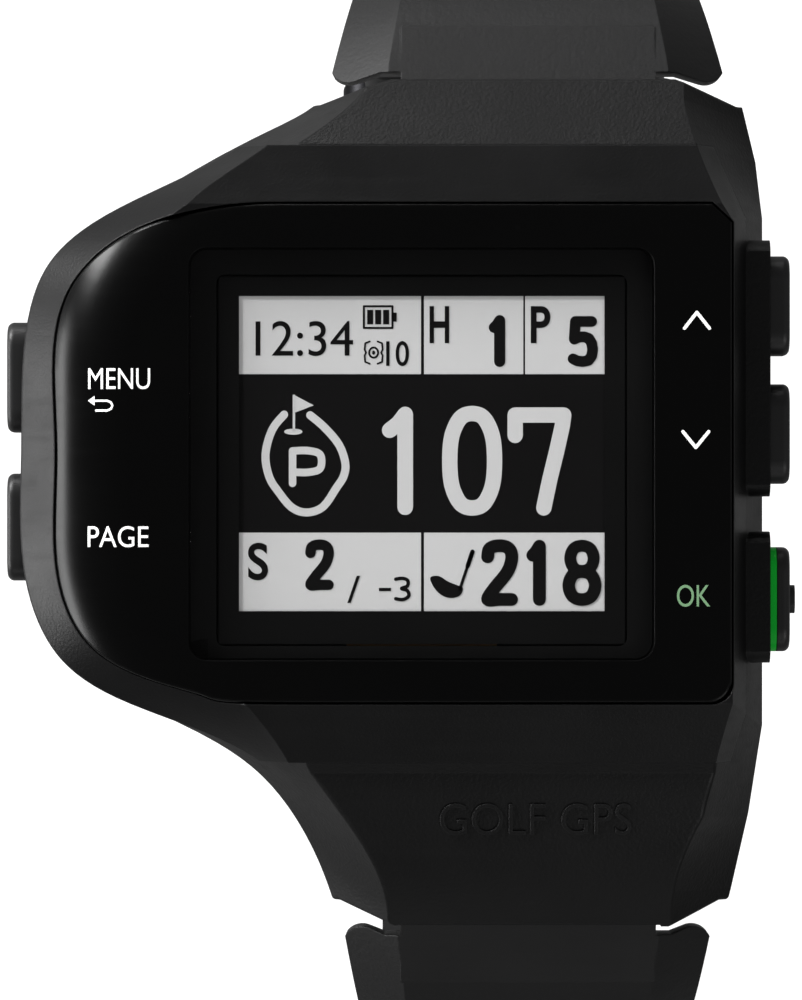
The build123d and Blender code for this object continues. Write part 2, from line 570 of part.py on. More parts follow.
# ---------------------------------------------------------------- buttons
for name, (side, cap_y, cap_length) in BUTTONS.items():
    floor = side_plane(side, floor_x(side))
    axis = (side * cap_y, 0)
    cap_foot = TRAVEL + 0.1

    with BuildPart() as button:
        with BuildSketch(floor.offset(cap_foot)):
            with Locations(axis):
                RectangleRounded(cap_length, CAP_H, 1.5)
        extrude(amount=CAP_T)
        fillet(button.faces().sort_by(Axis((0, 0, 0), floor.z_dir))[-1].edges(), 0.45)
        if name == "ok":
            # A round nub on its face, and a step that its green ring sits on.
            with BuildSketch(floor.offset(cap_foot + CAP_T)):
                with Locations(axis):
                    RectangleRounded(1.9, 1.5, 0.7)
            extrude(amount=0.4)
            with BuildSketch(floor.offset(cap_foot + 0.55)) as ring_room:
                with Locations(axis):
                    RectangleRounded(cap_length + 1, CAP_H + 1, 1.9)
                    RectangleRounded(cap_length - 1.2, CAP_H - 1.2, 0.9, mode=Mode.SUBTRACT)
            extrude(amount=0.7, mode=Mode.SUBTRACT)
        with BuildSketch(floor.offset(cap_foot)):
            with Locations(axis):
                Circle(1.65)
        extrude(amount=0.9, mode=Mode.SUBTRACT)
        # The stem, with a groove for its clip just inside the case.
        with BuildSketch(floor.offset(-WALL_T - 1.0)):
            with Locations(axis):
                Circle(STEM_R)
        extrude(amount=WALL_T + 1.0 + cap_foot + 1.2)
        with BuildSketch(floor.offset(-WALL_T - 0.5)):
            with Locations(axis):
                Circle(STEM_R + 0.2)
                Circle(0.5, mode=Mode.SUBTRACT)
        extrude(amount=0.4, mode=Mode.SUBTRACT)
    finish(button.part, f"{name}_button")

    # An open clip in the groove, which holds the button in.
    with BuildPart() as clip:
        with BuildSketch(floor.offset(-WALL_T - 0.48)):
            with Locations(axis):
                Circle(1.5)
                Circle(0.5, mode=Mode.SUBTRACT)
                with Locations((0, -1)):
                    Rectangle(0.8, 2.0, mode=Mode.SUBTRACT)
        extrude(amount=CLIP_T)
    finish(clip.part, f"{name}_clip")

    # The return spring between the wall and the cap.
    with BuildPart() as spring:
        spring_length = 0.55 + cap_foot + 0.85 - 0.4
        start = floor.offset(-0.35).from_local_coords((*axis, 0))
        with BuildLine():
            pitch = spring_length / SPRING_TURNS
            coil = Helix(pitch, spring_length, 1.3, center=start, direction=floor.z_dir)
        with BuildSketch(Plane(origin=coil @ 0, z_dir=coil % 0)):
            Circle(0.14)
        sweep(path=coil, is_frenet=True)
    finish(spring.part, f"{name}_spring")

with BuildPart() as ok_ring:
    floor = side_plane(1, floor_x(1))
    axis = (BUTTONS["ok"][1], 0)
    with BuildSketch(floor.offset(TRAVEL + 0.1 + 0.6)):
        with Locations(axis):
            RectangleRounded(BUTTONS["ok"][2], CAP_H, 1.5)
            RectangleRounded(BUTTONS["ok"][2] - 1.1, CAP_H - 1.1, 0.95, mode=Mode.SUBTRACT)
    extrude(amount=0.6)
finish(ok_ring.part, "ok_ring")

with BuildPart() as button_seals:
    for side, cap_y, cap_length in BUTTONS.values():
        with BuildSketch(side_plane(side, floor_x(side)).offset(-1.4)):
            with Locations((side * cap_y, 0)):
                Circle(1.38)
                Circle(STEM_BORE_R, mode=Mode.SUBTRACT)
        extrude(amount=0.45)
finish(button_seals.part, "button_seals")

# ---------------------------------------------------------------- spring bars
for name, end in (("upper", 1), ("lower", -1)):
    with BuildPart() as bar:
        with BuildSketch(Plane.YZ.offset(-KNUCKLE_W / 2 - 0.1)):
            with Locations((end * PIVOT_Y, PIVOT_Z)):
                Circle(BAR_R)
        extrude(amount=KNUCKLE_W + 0.2)
        with BuildSketch(Plane.YZ.offset(-KNUCKLE_W / 2 - 2.0)):
            with Locations((end * PIVOT_Y, PIVOT_Z)):
                Circle(BAR_TIP_R)
        extrude(amount=KNUCKLE_W + 4.0)
    finish(bar.part, f"{name}_spring_bar")


# ---------------------------------------------------------------- strap
def walk(runs):
    """Where a line of straight runs and arcs goes in the YZ plane at twelve o'clock.

    Each run is (length, radius), with the radius None where it is straight. Returns a function that
    gives (y, z, heading in degrees) at a distance along the line.
    """
    def place(distance):
        y = PIVOT_Y - STRAP_RISE * sin(radians(HEADING))
        z = PIVOT_Z + STRAP_RISE * cos(radians(HEADING))
        heading = HEADING
        for length, radius in runs:
            step = min(length, distance)
            if radius is None:
                y += step * cos(radians(heading))
                z += step * sin(radians(heading))
            else:
                turned = heading - degrees(step / radius)
                y += radius * (sin(radians(heading)) - sin(radians(turned)))
                z -= radius * (cos(radians(heading)) - cos(radians(turned)))
                heading = turned
            distance -= step
        return y, z, heading

    return place


BEND = BEND_R * radians(90 + HEADING)
UPPER_RUNS = ((ROOT_RUN, None), (BEND, BEND_R), (SWEEP_R * radians(SWEEP_ANGLE), SWEEP_R))
LOWER_RUNS = ((ROOT_RUN, None), (BEND, BEND_R), (DROP, None), (HEEL_R * radians(90), HEEL_R), (SOLE, None))
upper_place, lower_place = walk(UPPER_RUNS), walk(LOWER_RUNS)
UPPER_LENGTH = sum(length for length, radius in UPPER_RUNS)
LOWER_LENGTH = sum(length for length, radius in LOWER_RUNS)


def strap_plane(place, distance, end):
    """The plane across a strap, with its own Y outward from the wrist and its Z along the strap."""
    y, z, heading = place(distance)
    run = (0, end * cos(radians(heading)), sin(radians(heading)))
    return Plane(origin=(0, end * y, z), x_dir=(-end, 0, 0), z_dir=run)


def strap_section(distance, shoulder):
    """The half width, half ridge, half thickness and side height of a strap at a distance along it."""
    taper = sin(radians(90) * min(1, max(0, distance - 3) / (TAPER_END - 3)))
    half = shoulder + (STRAP_HALF - shoulder) * taper
    thick = ROOT_T + (STRAP_T - ROOT_T) * taper
    ridge = 0.7 * half
    side = 0.48 * thick
    return half, ridge, thick / 2, side


def strap_stations(length):
    """Distances at which the strap's sections are drawn, closer together round the first bend."""
    stations = [1.0, 3.5, ROOT_RUN + 1]
    stations += [ROOT_RUN + BEND * step / 6 for step in range(1, 7)]
    rest = length - ROOT_RUN - BEND
    count = round(rest / 5)
    return stations + [ROOT_RUN + BEND + rest * step / count for step in range(1, count + 1)]


def strap_blank(place, length, end, shoulder, nip):
    """A strap's shouldered band with its tongue and knuckle, before its bores and holes.

    Its shoulders follow the nipped ends of the case: nip is the X and Y where their flat ends, and
    the Y of their corners.
    """
    flat_x, flat_y, corner_y = nip
    with BuildPart() as blank:
        for distance in strap_stations(length):
            half, ridge, top, side = strap_section(distance, shoulder)
            with BuildSketch(strap_plane(place, distance, end)):
                Polygon(
                    (-half, -top), (half, -top), (half, side - top), (ridge, top), (-ridge, top),
                    (-half, side - top), align=None,
                )
        loft()
        # Trim it to its shoulders near the case only: further down it turns back under the watch.
        with BuildSketch(Plane.XY.offset(-TRIM_DROP)):
            with Locations((0, end * TRIM_REACH / 2)):
                Rectangle(60, TRIM_REACH)
            with BuildSketch(mode=Mode.PRIVATE) as kept:
                Polygon(
                    (-shoulder, end * 60), (-shoulder, end * corner_y), (-flat_x, end * flat_y),
                    (flat_x, end * flat_y), (shoulder, end * corner_y), (shoulder, end * 60), align=None,
                )
                corners = vertices().filter_by(lambda corner: abs(abs(corner.Y) - corner_y) < 0.01)
                fillet(corners, SHOULDER_CORNER_R)
            add(kept.sketch, mode=Mode.SUBTRACT)
        extrude(amount=2 * TRIM_DROP, mode=Mode.SUBTRACT)
        knuckle_start = (-end * KNUCKLE_W / 2, end * PIVOT_Y, PIVOT_Z)
        with BuildSketch(Plane(origin=knuckle_start, x_dir=(0, end, 0), z_dir=(end, 0, 0))):
            Circle(KNUCKLE_R)
            with Locations(Location((0, 0, 0), (0, 0, HEADING))):
                with Locations((3.0, STRAP_RISE)):
                    Rectangle(6.0, ROOT_T - 0.02)
        extrude(amount=KNUCKLE_W)
        with BuildSketch(Plane.YZ.offset(-20)):
            with Locations((end * PIVOT_Y, PIVOT_Z)):
                Circle(BAR_BORE_R)
        extrude(amount=40, mode=Mode.SUBTRACT)
    return blank.part


buckle_plane = strap_plane(upper_place, UPPER_LENGTH, 1)  # its origin is the buckle's bar
bar_plane = Plane(origin=buckle_plane.origin, x_dir=buckle_plane.z_dir, z_dir=-buckle_plane.x_dir)

with BuildPart() as upper_strap:
    add(strap_blank(upper_place, UPPER_LENGTH, 1, UPPER_SHOULDER, UPPER_NIP))
    with BuildSketch(bar_plane.offset(-STRAP_HALF)):
        Circle(BUCKLE_EYE_R)
    extrude(amount=2 * STRAP_HALF)
    with BuildSketch(bar_plane.offset(-20)):
        Circle(BAR_BORE_R)
    extrude(amount=40, mode=Mode.SUBTRACT)
    with BuildSketch(bar_plane.offset(-TONGUE_SLOT / 2)):
        Rectangle(6.0, 8.0)
    extrude(amount=TONGUE_SLOT, mode=Mode.SUBTRACT)
finish(upper_strap.part, "upper_strap")

with BuildPart() as lower_strap:
    add(strap_blank(lower_place, LOWER_LENGTH, -1, LOWER_SHOULDER, LOWER_NIP))
    for hole in range(HOLE_COUNT):
        across = strap_plane(lower_place, LOWER_LENGTH - 9 - hole * HOLE_PITCH, -1)
        with BuildSketch(Plane(origin=across.origin, x_dir=across.x_dir, z_dir=across.y_dir).offset(-3)):
            Circle(HOLE_R)
        extrude(amount=6, mode=Mode.SUBTRACT)
    tip_y = -lower_place(LOWER_LENGTH)[0]
    with BuildSketch(Plane.XY.offset(-68)):
        with Locations((0, tip_y - 3)):
            Rectangle(24, 8)
        with Locations((0, tip_y - 20)):
            RectangleRounded(2 * STRAP_HALF, 40, 8, mode=Mode.SUBTRACT)
    extrude(amount=12, mode=Mode.SUBTRACT)
finish(lower_strap.part, "lower_strap")

# ---------------------------------------------------------------- buckle and keepers
with BuildPart() as buckle_spring_bar:
    with BuildSketch(bar_plane.offset(-10.2)):
        Circle(BAR_R)
    extrude(amount=20.4)
    with BuildSketch(bar_plane.offset(-11.8)):
        Circle(BAR_TIP_R)
    extrude(amount=23.6)
finish(buckle_spring_bar.part, "buckle_spring_bar")

# The buckle's own plane: X across the strap, Y away from the case along it, Z outward.
frame_plane = Plane(origin=buckle_plane.origin, x_dir=-buckle_plane.x_dir, z_dir=buckle_plane.y_dir)
with BuildPart() as buckle_frame:
    with BuildSketch(frame_plane.offset(-BUCKLE_T / 2)):
        with Locations((0, (BUCKLE_REACH - 2) / 2)):
            RectangleRounded(2 * BUCKLE_HALF, BUCKLE_REACH + 2, 1.8)
            Rectangle(2 * (BUCKLE_HALF - BUCKLE_ARM), BUCKLE_REACH + 2 - 2 * BUCKLE_ARM, mode=Mode.SUBTRACT)
        with Locations((0, -2)):
            Rectangle(2 * (BUCKLE_HALF - BUCKLE_ARM), 6, mode=Mode.SUBTRACT)
    extrude(amount=BUCKLE_T)
    fillet(buckle_frame.edges().group_by(Axis(buckle_plane.origin, buckle_plane.y_dir))[-1], 0.5)
    with BuildSketch(bar_plane.offset(-12.0)):
        Circle(TIP_BORE_R)
    extrude(amount=24.0, mode=Mode.SUBTRACT)
finish(buckle_frame.part, "buckle_frame")

with BuildPart() as buckle_tongue:
    with BuildSketch(bar_plane.offset(-TONGUE_W / 2)):
        Circle(1.6)
        Polygon(
            (0, 0), (0, 1.55), (7.4, 2.35), (10.2, 2.3), (10.5, 1.35), (7.4, 1.3), (3.0, 0.55), align=None,
        )
        Circle(BAR_BORE_R, mode=Mode.SUBTRACT)
    extrude(amount=TONGUE_W)
finish(buckle_tongue.part, "buckle_tongue")

KEEPERS = (("fixed_keeper", FIXED_BACK, FIXED_GAP), ("sliding_keeper", SLIDING_BACK, SLIDING_GAP))
for name, back, gap in KEEPERS:
    with BuildPart() as keeper:
        with BuildSketch(strap_plane(upper_place, UPPER_LENGTH - back, 1).offset(-KEEPER_W / 2)):
            low, high = -STRAP_T / 2 - gap, STRAP_T / 2 + KEEPER_ROOM
            with Locations((0, (low + high) / 2)):
                RectangleRounded(2 * (STRAP_HALF + gap + KEEPER_T), high - low + 2 * KEEPER_T, 1.6)
                RectangleRounded(2 * (STRAP_HALF + gap), high - low, 0.5, mode=Mode.SUBTRACT)
        extrude(amount=KEEPER_W)
        fillet(keeper.edges().filter_by(GeomType.LINE).filter_by(Axis.X), 0.3)
    finish(keeper.part, name)
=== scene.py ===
"""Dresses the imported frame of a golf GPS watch: finishes, display, printed marks, lights and camera."""

import logging
import math
from dataclasses import dataclass, field
from enum import Enum, IntEnum

import bmesh
import bpy
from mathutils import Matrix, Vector
from mathutils.bvhtree import BVHTree
from mathutils.geometry import delaunay_2d_cdt


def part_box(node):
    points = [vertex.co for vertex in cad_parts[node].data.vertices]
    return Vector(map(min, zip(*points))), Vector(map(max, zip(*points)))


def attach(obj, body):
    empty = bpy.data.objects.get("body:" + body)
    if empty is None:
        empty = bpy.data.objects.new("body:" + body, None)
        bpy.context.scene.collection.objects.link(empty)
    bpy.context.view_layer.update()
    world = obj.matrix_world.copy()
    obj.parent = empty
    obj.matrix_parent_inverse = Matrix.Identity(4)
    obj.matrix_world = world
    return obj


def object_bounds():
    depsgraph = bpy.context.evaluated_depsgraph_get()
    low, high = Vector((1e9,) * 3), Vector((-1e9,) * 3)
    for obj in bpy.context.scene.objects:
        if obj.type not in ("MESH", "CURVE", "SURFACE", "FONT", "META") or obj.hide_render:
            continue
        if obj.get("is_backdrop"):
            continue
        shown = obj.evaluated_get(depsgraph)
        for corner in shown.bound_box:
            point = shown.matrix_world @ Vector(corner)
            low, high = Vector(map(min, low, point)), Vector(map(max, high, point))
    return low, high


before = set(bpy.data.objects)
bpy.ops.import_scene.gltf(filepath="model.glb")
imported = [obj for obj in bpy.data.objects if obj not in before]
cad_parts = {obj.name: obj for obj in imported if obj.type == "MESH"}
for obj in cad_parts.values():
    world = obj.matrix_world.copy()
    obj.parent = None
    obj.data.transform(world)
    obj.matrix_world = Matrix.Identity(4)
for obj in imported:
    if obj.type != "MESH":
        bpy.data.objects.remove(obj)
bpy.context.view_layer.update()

LOG = logging.getLogger("golf_watch")
MM = 0.001
DOWN = Vector((0, 0, -1))
ABOVE_ALL = 0.05  # metres, a height clear of the whole watch
STROKE_SIDES = 16  # corners of the disc at each point of a stroke
SAME_SPOT = 1e-5
LAYING_PASSES = 3  # how often the edges of a mark are halved, at most
FINEST_EDGE = 0.0004  # metres, the longest edge left on a mark that is laid on a curve
Point = tuple[float, float]
Place = tuple[float, float, float]
Color = tuple[float, float, float]
Box = tuple[float, float, float, float]


# ---------------------------------------------------------------- shared helpers
def new_piece(name: str, mesh: bpy.types.Mesh) -> bpy.types.Object:
    """Links a mesh to the scene as an object at the origin.

    Args:
        name: the piece's name.
        mesh: its mesh, already in place in metres.

    Returns:
        The new object.
    """
    piece = bpy.data.objects.new(name, mesh)
    bpy.context.scene.collection.objects.link(piece)
    return piece


def baked(holder: bpy.types.Object, name: str) -> bpy.types.Mesh:
    """Turns a text, curve or modified object into a plain mesh and removes the holder.

    Args:
        holder: the object to evaluate.
        name: the new mesh's name.

    Returns:
        The evaluated mesh.
    """
    bpy.context.view_layer.update()
    graph = bpy.context.evaluated_depsgraph_get()
    mesh = bpy.data.meshes.new_from_object(holder.evaluated_get(graph))
    mesh.name = name
    bpy.data.objects.remove(holder)
    return mesh


def raise_sheet(solid: bmesh.types.BMesh, height: float) -> None:
    """Turns a flat sheet into a closed solid with its faces outward.

    Args:
        solid: a bmesh that holds only the sheet.
        height: how far it rises, in millimetres.
    """
    raised = bmesh.ops.extrude_face_region(solid, geom=solid.faces[:])
    tops = [item for item in raised["geom"] if isinstance(item, bmesh.types.BMVert)]
    bmesh.ops.translate(solid, verts=tops, vec=(0, 0, height * MM))
    bmesh.ops.recalc_face_normals(solid, faces=solid.faces)


def prism(outline: list[Point], low: float, high: float) -> bmesh.types.BMesh:
    """A closed flat-topped solid.

    Args:
        outline: its corners in millimetres, in the XY plane.
        low: its lower height in millimetres.
        high: its upper height in millimetres.

    Returns:
        A bmesh in metres, with its faces outward.
    """
    solid = bmesh.new()
    solid.faces.new([solid.verts.new((x * MM, y * MM, low * MM)) for x, y in outline])
    raise_sheet(solid, high - low)
    return solid


def stroke(line: list[Point], width: float, low: float, high: float, closed: bool = False) -> bmesh.types.BMesh:
    """A round-ended stroke of even width along a line, as one closed solid.

    A disc at each point and a band between each two are merged flat first, so that no two faces
    of the solid lie on each other.

    Args:
        line: the points along its middle, in millimetres.
        width: its width in millimetres.
        low: its lower height in millimetres.
        high: its upper height in millimetres.
        closed: whether the line runs back to its start.

    Returns:
        A bmesh in metres.
    """
    half = width / 2
    turns = [math.tau * side / STROKE_SIDES for side in range(STROKE_SIDES)]
    rim = [half * Vector((math.cos(turn), math.sin(turn))) for turn in turns]
    spots = [Vector(point) for point in line]
    outlines = [[spot + reach for reach in rim] for spot in spots]
    for start, stop in zip(spots, spots[1:] + (spots[:1] if closed else [])):
        run = (stop - start).normalized() * half
        across = Vector((-run.y, run.x))
        outlines.append([start - across, stop - across, stop + across, start + across])
    corners: list[Vector] = []
    faces: list[list[int]] = []
    for outline in outlines:
        faces.append(list(range(len(corners), len(corners) + len(outline))))
        corners += outline
    flat, _, triangles, _, _, origins = delaunay_2d_cdt(corners, [], faces, 0, SAME_SPOT)
    solid = bmesh.new()
    verts = [solid.verts.new((spot.x * MM, spot.y * MM, low * MM)) for spot in flat]
    for triangle, origin in zip(triangles, origins):
        if origin:
            solid.faces.new([verts[index] for index in triangle])
    bmesh.ops.delete(solid, geom=[vert for vert in verts if not vert.link_faces], context="VERTS")
    raise_sheet(solid, high - low)
    return solid


def smooth_line(points: list[Point], steps: int = 6, closed: bool = False) -> list[Point]:
    """A Catmull-Rom line through a few points.

    Args:
        points: the points that it passes through.
        steps: how many pieces each span is cut into.
        closed: whether it runs back to its start.

    Returns:
        The finer line.
    """
    count = len(points)
    spans = count if closed else count - 1
    line: list[Point] = []
    for span in range(spans):
        around = range(span - 1, span + 3)
        near = [points[k % count] if closed else points[min(max(k, 0), count - 1)] for k in around]
        for step in range(steps):
            t = step / steps
            weights = (-t + 2 * t**2 - t**3, 2 - 5 * t**2 + 3 * t**3, t + 4 * t**2 - 3 * t**3, t**3 - t**2)
            line.append(tuple(sum(w * p[axis] for w, p in zip(weights, near)) / 2 for axis in (0, 1)))
    if not closed:
        line.append(points[-1])
    return line


def joined(name: str, solids: list[bmesh.types.BMesh]) -> bpy.types.Object:
    """Makes one piece out of several solids.

    Args:
        name: the piece's name.
        solids: the bmeshes, which are freed.

    Returns:
        The new object.
    """
    whole = bpy.data.meshes.new(name)
    merged = bmesh.new()
    for solid in solids:
        part = bpy.data.meshes.new("part")
        solid.to_mesh(part)
        merged.from_mesh(part)
        bpy.data.meshes.remove(part)
        solid.free()
    merged.to_mesh(whole)
    merged.free()
    return new_piece(name, whole)


def lettering(text: str, box: Box, low: float, high: float, weight: float = 0.0) -> bmesh.types.BMesh:
    """Solid letters that exactly fill a box.

    Args:
        text: the characters.
        box: left, bottom, right and top in millimetres.
        low: their lower height in millimetres.
        high: their upper height in millimetres.
        weight: how far the font's outline is swollen, as a share of its size.

    Returns:
        A bmesh in metres.
    """
    font = bpy.data.curves.new("letters", "FONT")
    font.body = text
    font.offset = weight
    font.extrude = 0.5
    font.resolution_u = 8
    mesh = baked(new_piece("letters", font), "letters")
    solid = bmesh.new()
    solid.from_mesh(mesh)
    bpy.data.meshes.remove(mesh)
    bmesh.ops.remove_doubles(solid, verts=solid.verts, dist=SAME_SPOT)
    lows = [min(vert.co[axis] for vert in solid.verts) for axis in range(3)]
    highs = [max(vert.co[axis] for vert in solid.verts) for axis in range(3)]
    goal_low, goal_high = (box[0], box[1], low), (box[2], box[3], high)
    for vert in solid.verts:
        for axis in range(3):
            share = (vert.co[axis] - lows[axis]) / (highs[axis] - lows[axis])
            vert.co[axis] = (goal_low[axis] + share * (goal_high[axis] - goal_low[axis])) * MM
    return solid


def surface_below(nodes: list[str]) -> BVHTree:
    """A search tree of CAD nodes' faces, for laying marks on them.

    Args:
        nodes: the nodes' names.

    Returns:
        The tree.
    """
    verts: list[Vector] = []
    faces: list[list[int]] = []
    for node in nodes:
        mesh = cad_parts[node].data
        start = len(verts)
        verts += [vert.co.copy() for vert in mesh.vertices]
        faces += [[start + index for index in face.vertices] for face in mesh.polygons]
    return BVHTree.FromPolygons(verts, faces)


def lay_on(piece: bpy.types.Object, tree: BVHTree, sink: float) -> None:
    """Drops a flat piece onto the surface under it, keeping its own thickness.

    Args:
        piece: the piece, drawn with its underside at height zero.
        tree: the surface.
        sink: how deep its underside goes into the surface, in millimetres.
    """
    solid = bmesh.new()
    solid.from_mesh(piece.data)
    bmesh.ops.triangulate(solid, faces=solid.faces)
    for _ in range(LAYING_PASSES):
        long = [edge for edge in solid.edges if edge.calc_length() > FINEST_EDGE]
        if not long:
            break
        bmesh.ops.subdivide_edges(solid, edges=long, cuts=1)
        bmesh.ops.triangulate(solid, faces=solid.faces)
    for vert in solid.verts:
        hit = tree.ray_cast(Vector((vert.co.x, vert.co.y, ABOVE_ALL)), DOWN)[0]
        if hit:
            vert.co.z += hit.z - sink * MM
    solid.to_mesh(piece.data)
    solid.free()


# ---------------------------------------------------------------- node helpers
def set_inputs(node: bpy.types.Node, values: dict[str | int, object]) -> None:
    """Sets the unlinked values of a node's inputs, each by its name or place."""
    for socket, value in values.items():
        node.inputs[socket].default_value = value


def add_node(
    tree: bpy.types.NodeTree, kind: str, values: dict[str | int, object] | None = None, **settings: object
) -> bpy.types.Node:
    """Adds a node to a tree.

    Args:
        tree: the tree.
        kind: the node's type.
        values: the values of its inputs.
        settings: its own properties, which are set first.

    Returns:
        The new node.
    """
    node = tree.nodes.new(kind)
    for setting, value in settings.items():
        setattr(node, setting, value)
    set_inputs(node, values or {})
    return node


def wire(tree: bpy.types.NodeTree, *joins: tuple[bpy.types.Node, str | int, bpy.types.Node, str | int]) -> None:
    """Links nodes of a tree.

    Args:
        tree: the tree.
        joins: for each link, a node and its output, then a node and its input.
    """
    for source, output, target, socket in joins:
        tree.links.new(source.outputs[output], target.inputs[socket])


# ---------------------------------------------------------------- shader groups
class Groups:
    """The shader node groups that several finishes share, each made once."""

    def __init__(self) -> None:
        """Builds every group."""
        self.grain = self._grain()
        self.handling = self._handling()
        self.rounding = self._rounding()

    @staticmethod
    def _new(name: str, inputs: dict[str, float], outputs: dict[str, str]) -> bpy.types.ShaderNodeTree:
        """An empty group with float inputs and the given outputs.

        Args:
            name: the group's name.
            inputs: each input's name and its usual value.
            outputs: each output's name and its socket type.

        Returns:
            The group, with its input and output nodes in it.
        """
        group = bpy.data.node_groups.new(name, "ShaderNodeTree")
        for label, value in inputs.items():
            socket = group.interface.new_socket(label, in_out="INPUT", socket_type="NodeSocketFloat")
            socket.default_value = value
        for label, kind in outputs.items():
            group.interface.new_socket(label, in_out="OUTPUT", socket_type=kind)
        group.nodes.new("NodeGroupInput").name = "in"
        group.nodes.new("NodeGroupOutput").name = "out"
        return group

    def _grain(self) -> bpy.types.ShaderNodeTree:
        """Moulded or sparked texture: fine pits and the swell between them, and broad patches of gloss."""
        outputs = {"Height": "NodeSocketFloat", "Patch": "NodeSocketFloat"}
        group = self._new("moulded_grain", {"Size": 0.00025, "Swell": 0.4}, outputs)
        given, result = group.nodes["in"], group.nodes["out"]
        place = add_node(group, "ShaderNodeTexCoord")
        scale = add_node(group, "ShaderNodeMath", {0: 1.0}, operation="DIVIDE")
        pits = add_node(group, "ShaderNodeTexNoise", {"Detail": 1})
        swell = add_node(group, "ShaderNodeTexNoise", {"Scale": 900, "Detail": 2})
        patch = add_node(group, "ShaderNodeTexNoise", {"Scale": 130, "Detail": 3})
        mix = add_node(group, "ShaderNodeMix")
        wire(
            group,
            (given, "Size", scale, 1), (scale, 0, pits, "Scale"),
            *[(place, "Object", texture, "Vector") for texture in (pits, swell, patch)],
            (given, "Swell", mix, "Factor"), (pits, "Fac", mix, "A"), (swell, "Fac", mix, "B"),
            (mix, "Result", result, "Height"), (patch, "Fac", result, "Patch"),
        )
        return group

    def _handling(self) -> bpy.types.ShaderNodeTree:
        """Marks of use: a sparse dust of pale specks and fine rubbed streaks."""
        outputs = {"Dust": "NodeSocketFloat", "Rub": "NodeSocketFloat"}
        group = self._new("handling", {"Specks": 0.5, "Streaks": 0.5}, outputs)
        given, result = group.nodes["in"], group.nodes["out"]
        place = add_node(group, "ShaderNodeTexCoord")
        specks = add_node(group, "ShaderNodeTexVoronoi", {"Scale": 420})
        near = add_node(group, "ShaderNodeMapRange", {"From Min": 0.10, "From Max": 0.03})
        cloud = add_node(group, "ShaderNodeTexNoise", {"Scale": 90})
        thin = add_node(group, "ShaderNodeMapRange", {"From Min": 0.56, "From Max": 0.7})
        stretch = add_node(group, "ShaderNodeMapping", {"Scale": (1.0, 14.0, 4.0), "Rotation": (0.0, 0.0, 0.5)})
        streaks = add_node(group, "ShaderNodeTexNoise", {"Scale": 110, "Detail": 4})
        sharp = add_node(group, "ShaderNodeMapRange", {"From Min": 0.5, "From Max": 0.72})
        dust, dusted, rub = (add_node(group, "ShaderNodeMath", operation="MULTIPLY") for _ in range(3))
        wire(
            group,
            (place, "Object", specks, "Vector"), (specks, "Distance", near, "Value"),
            (place, "Object", cloud, "Vector"), (cloud, "Fac", thin, "Value"),
            (near, "Result", dust, 0), (thin, "Result", dust, 1),
            (dust, 0, dusted, 0), (given, "Specks", dusted, 1), (dusted, 0, result, "Dust"),
            (place, "Object", stretch, "Vector"), (stretch, "Vector", streaks, "Vector"),
            (streaks, "Fac", sharp, "Value"), (sharp, "Result", rub, 0),
            (given, "Streaks", rub, 1), (rub, 0, result, "Rub"),
        )
        return group

    def _rounding(self) -> bpy.types.ShaderNodeTree:
        """Softened arrises: the normal near an edge, and a mask of where edges have been rubbed."""
        outputs = {"Normal": "NodeSocketVector", "Edge": "NodeSocketFloat"}
        group = self._new("rounded_arris", {"Radius": 0.00015}, outputs)
        given, result = group.nodes["in"], group.nodes["out"]
        bevel = add_node(group, "ShaderNodeBevel", samples=2)
        flat = add_node(group, "ShaderNodeNewGeometry")
        dot = add_node(group, "ShaderNodeVectorMath", operation="DOT_PRODUCT")
        turned = add_node(group, "ShaderNodeMapRange", {"From Min": 0.995, "From Max": 0.9})
        wire(
            group,
            (given, "Radius", bevel, "Radius"), (bevel, "Normal", dot, 0), (flat, "Normal", dot, 1),
            (dot, "Value", turned, "Value"),
            (bevel, "Normal", result, "Normal"), (turned, "Result", result, "Edge"),
        )
        return group


# ---------------------------------------------------------------- finishes
COAT_ROUGHNESS = 0.08
EDGE_WEAR = 0.5  # how much of the worn colour a rubbed edge shows
LEAST_ROUGHNESS = 0.02


class Base(Enum):
    """What a finish is made of, with the shader's metallic value for it."""

    NONMETAL = 0.0
    METAL = 1.0


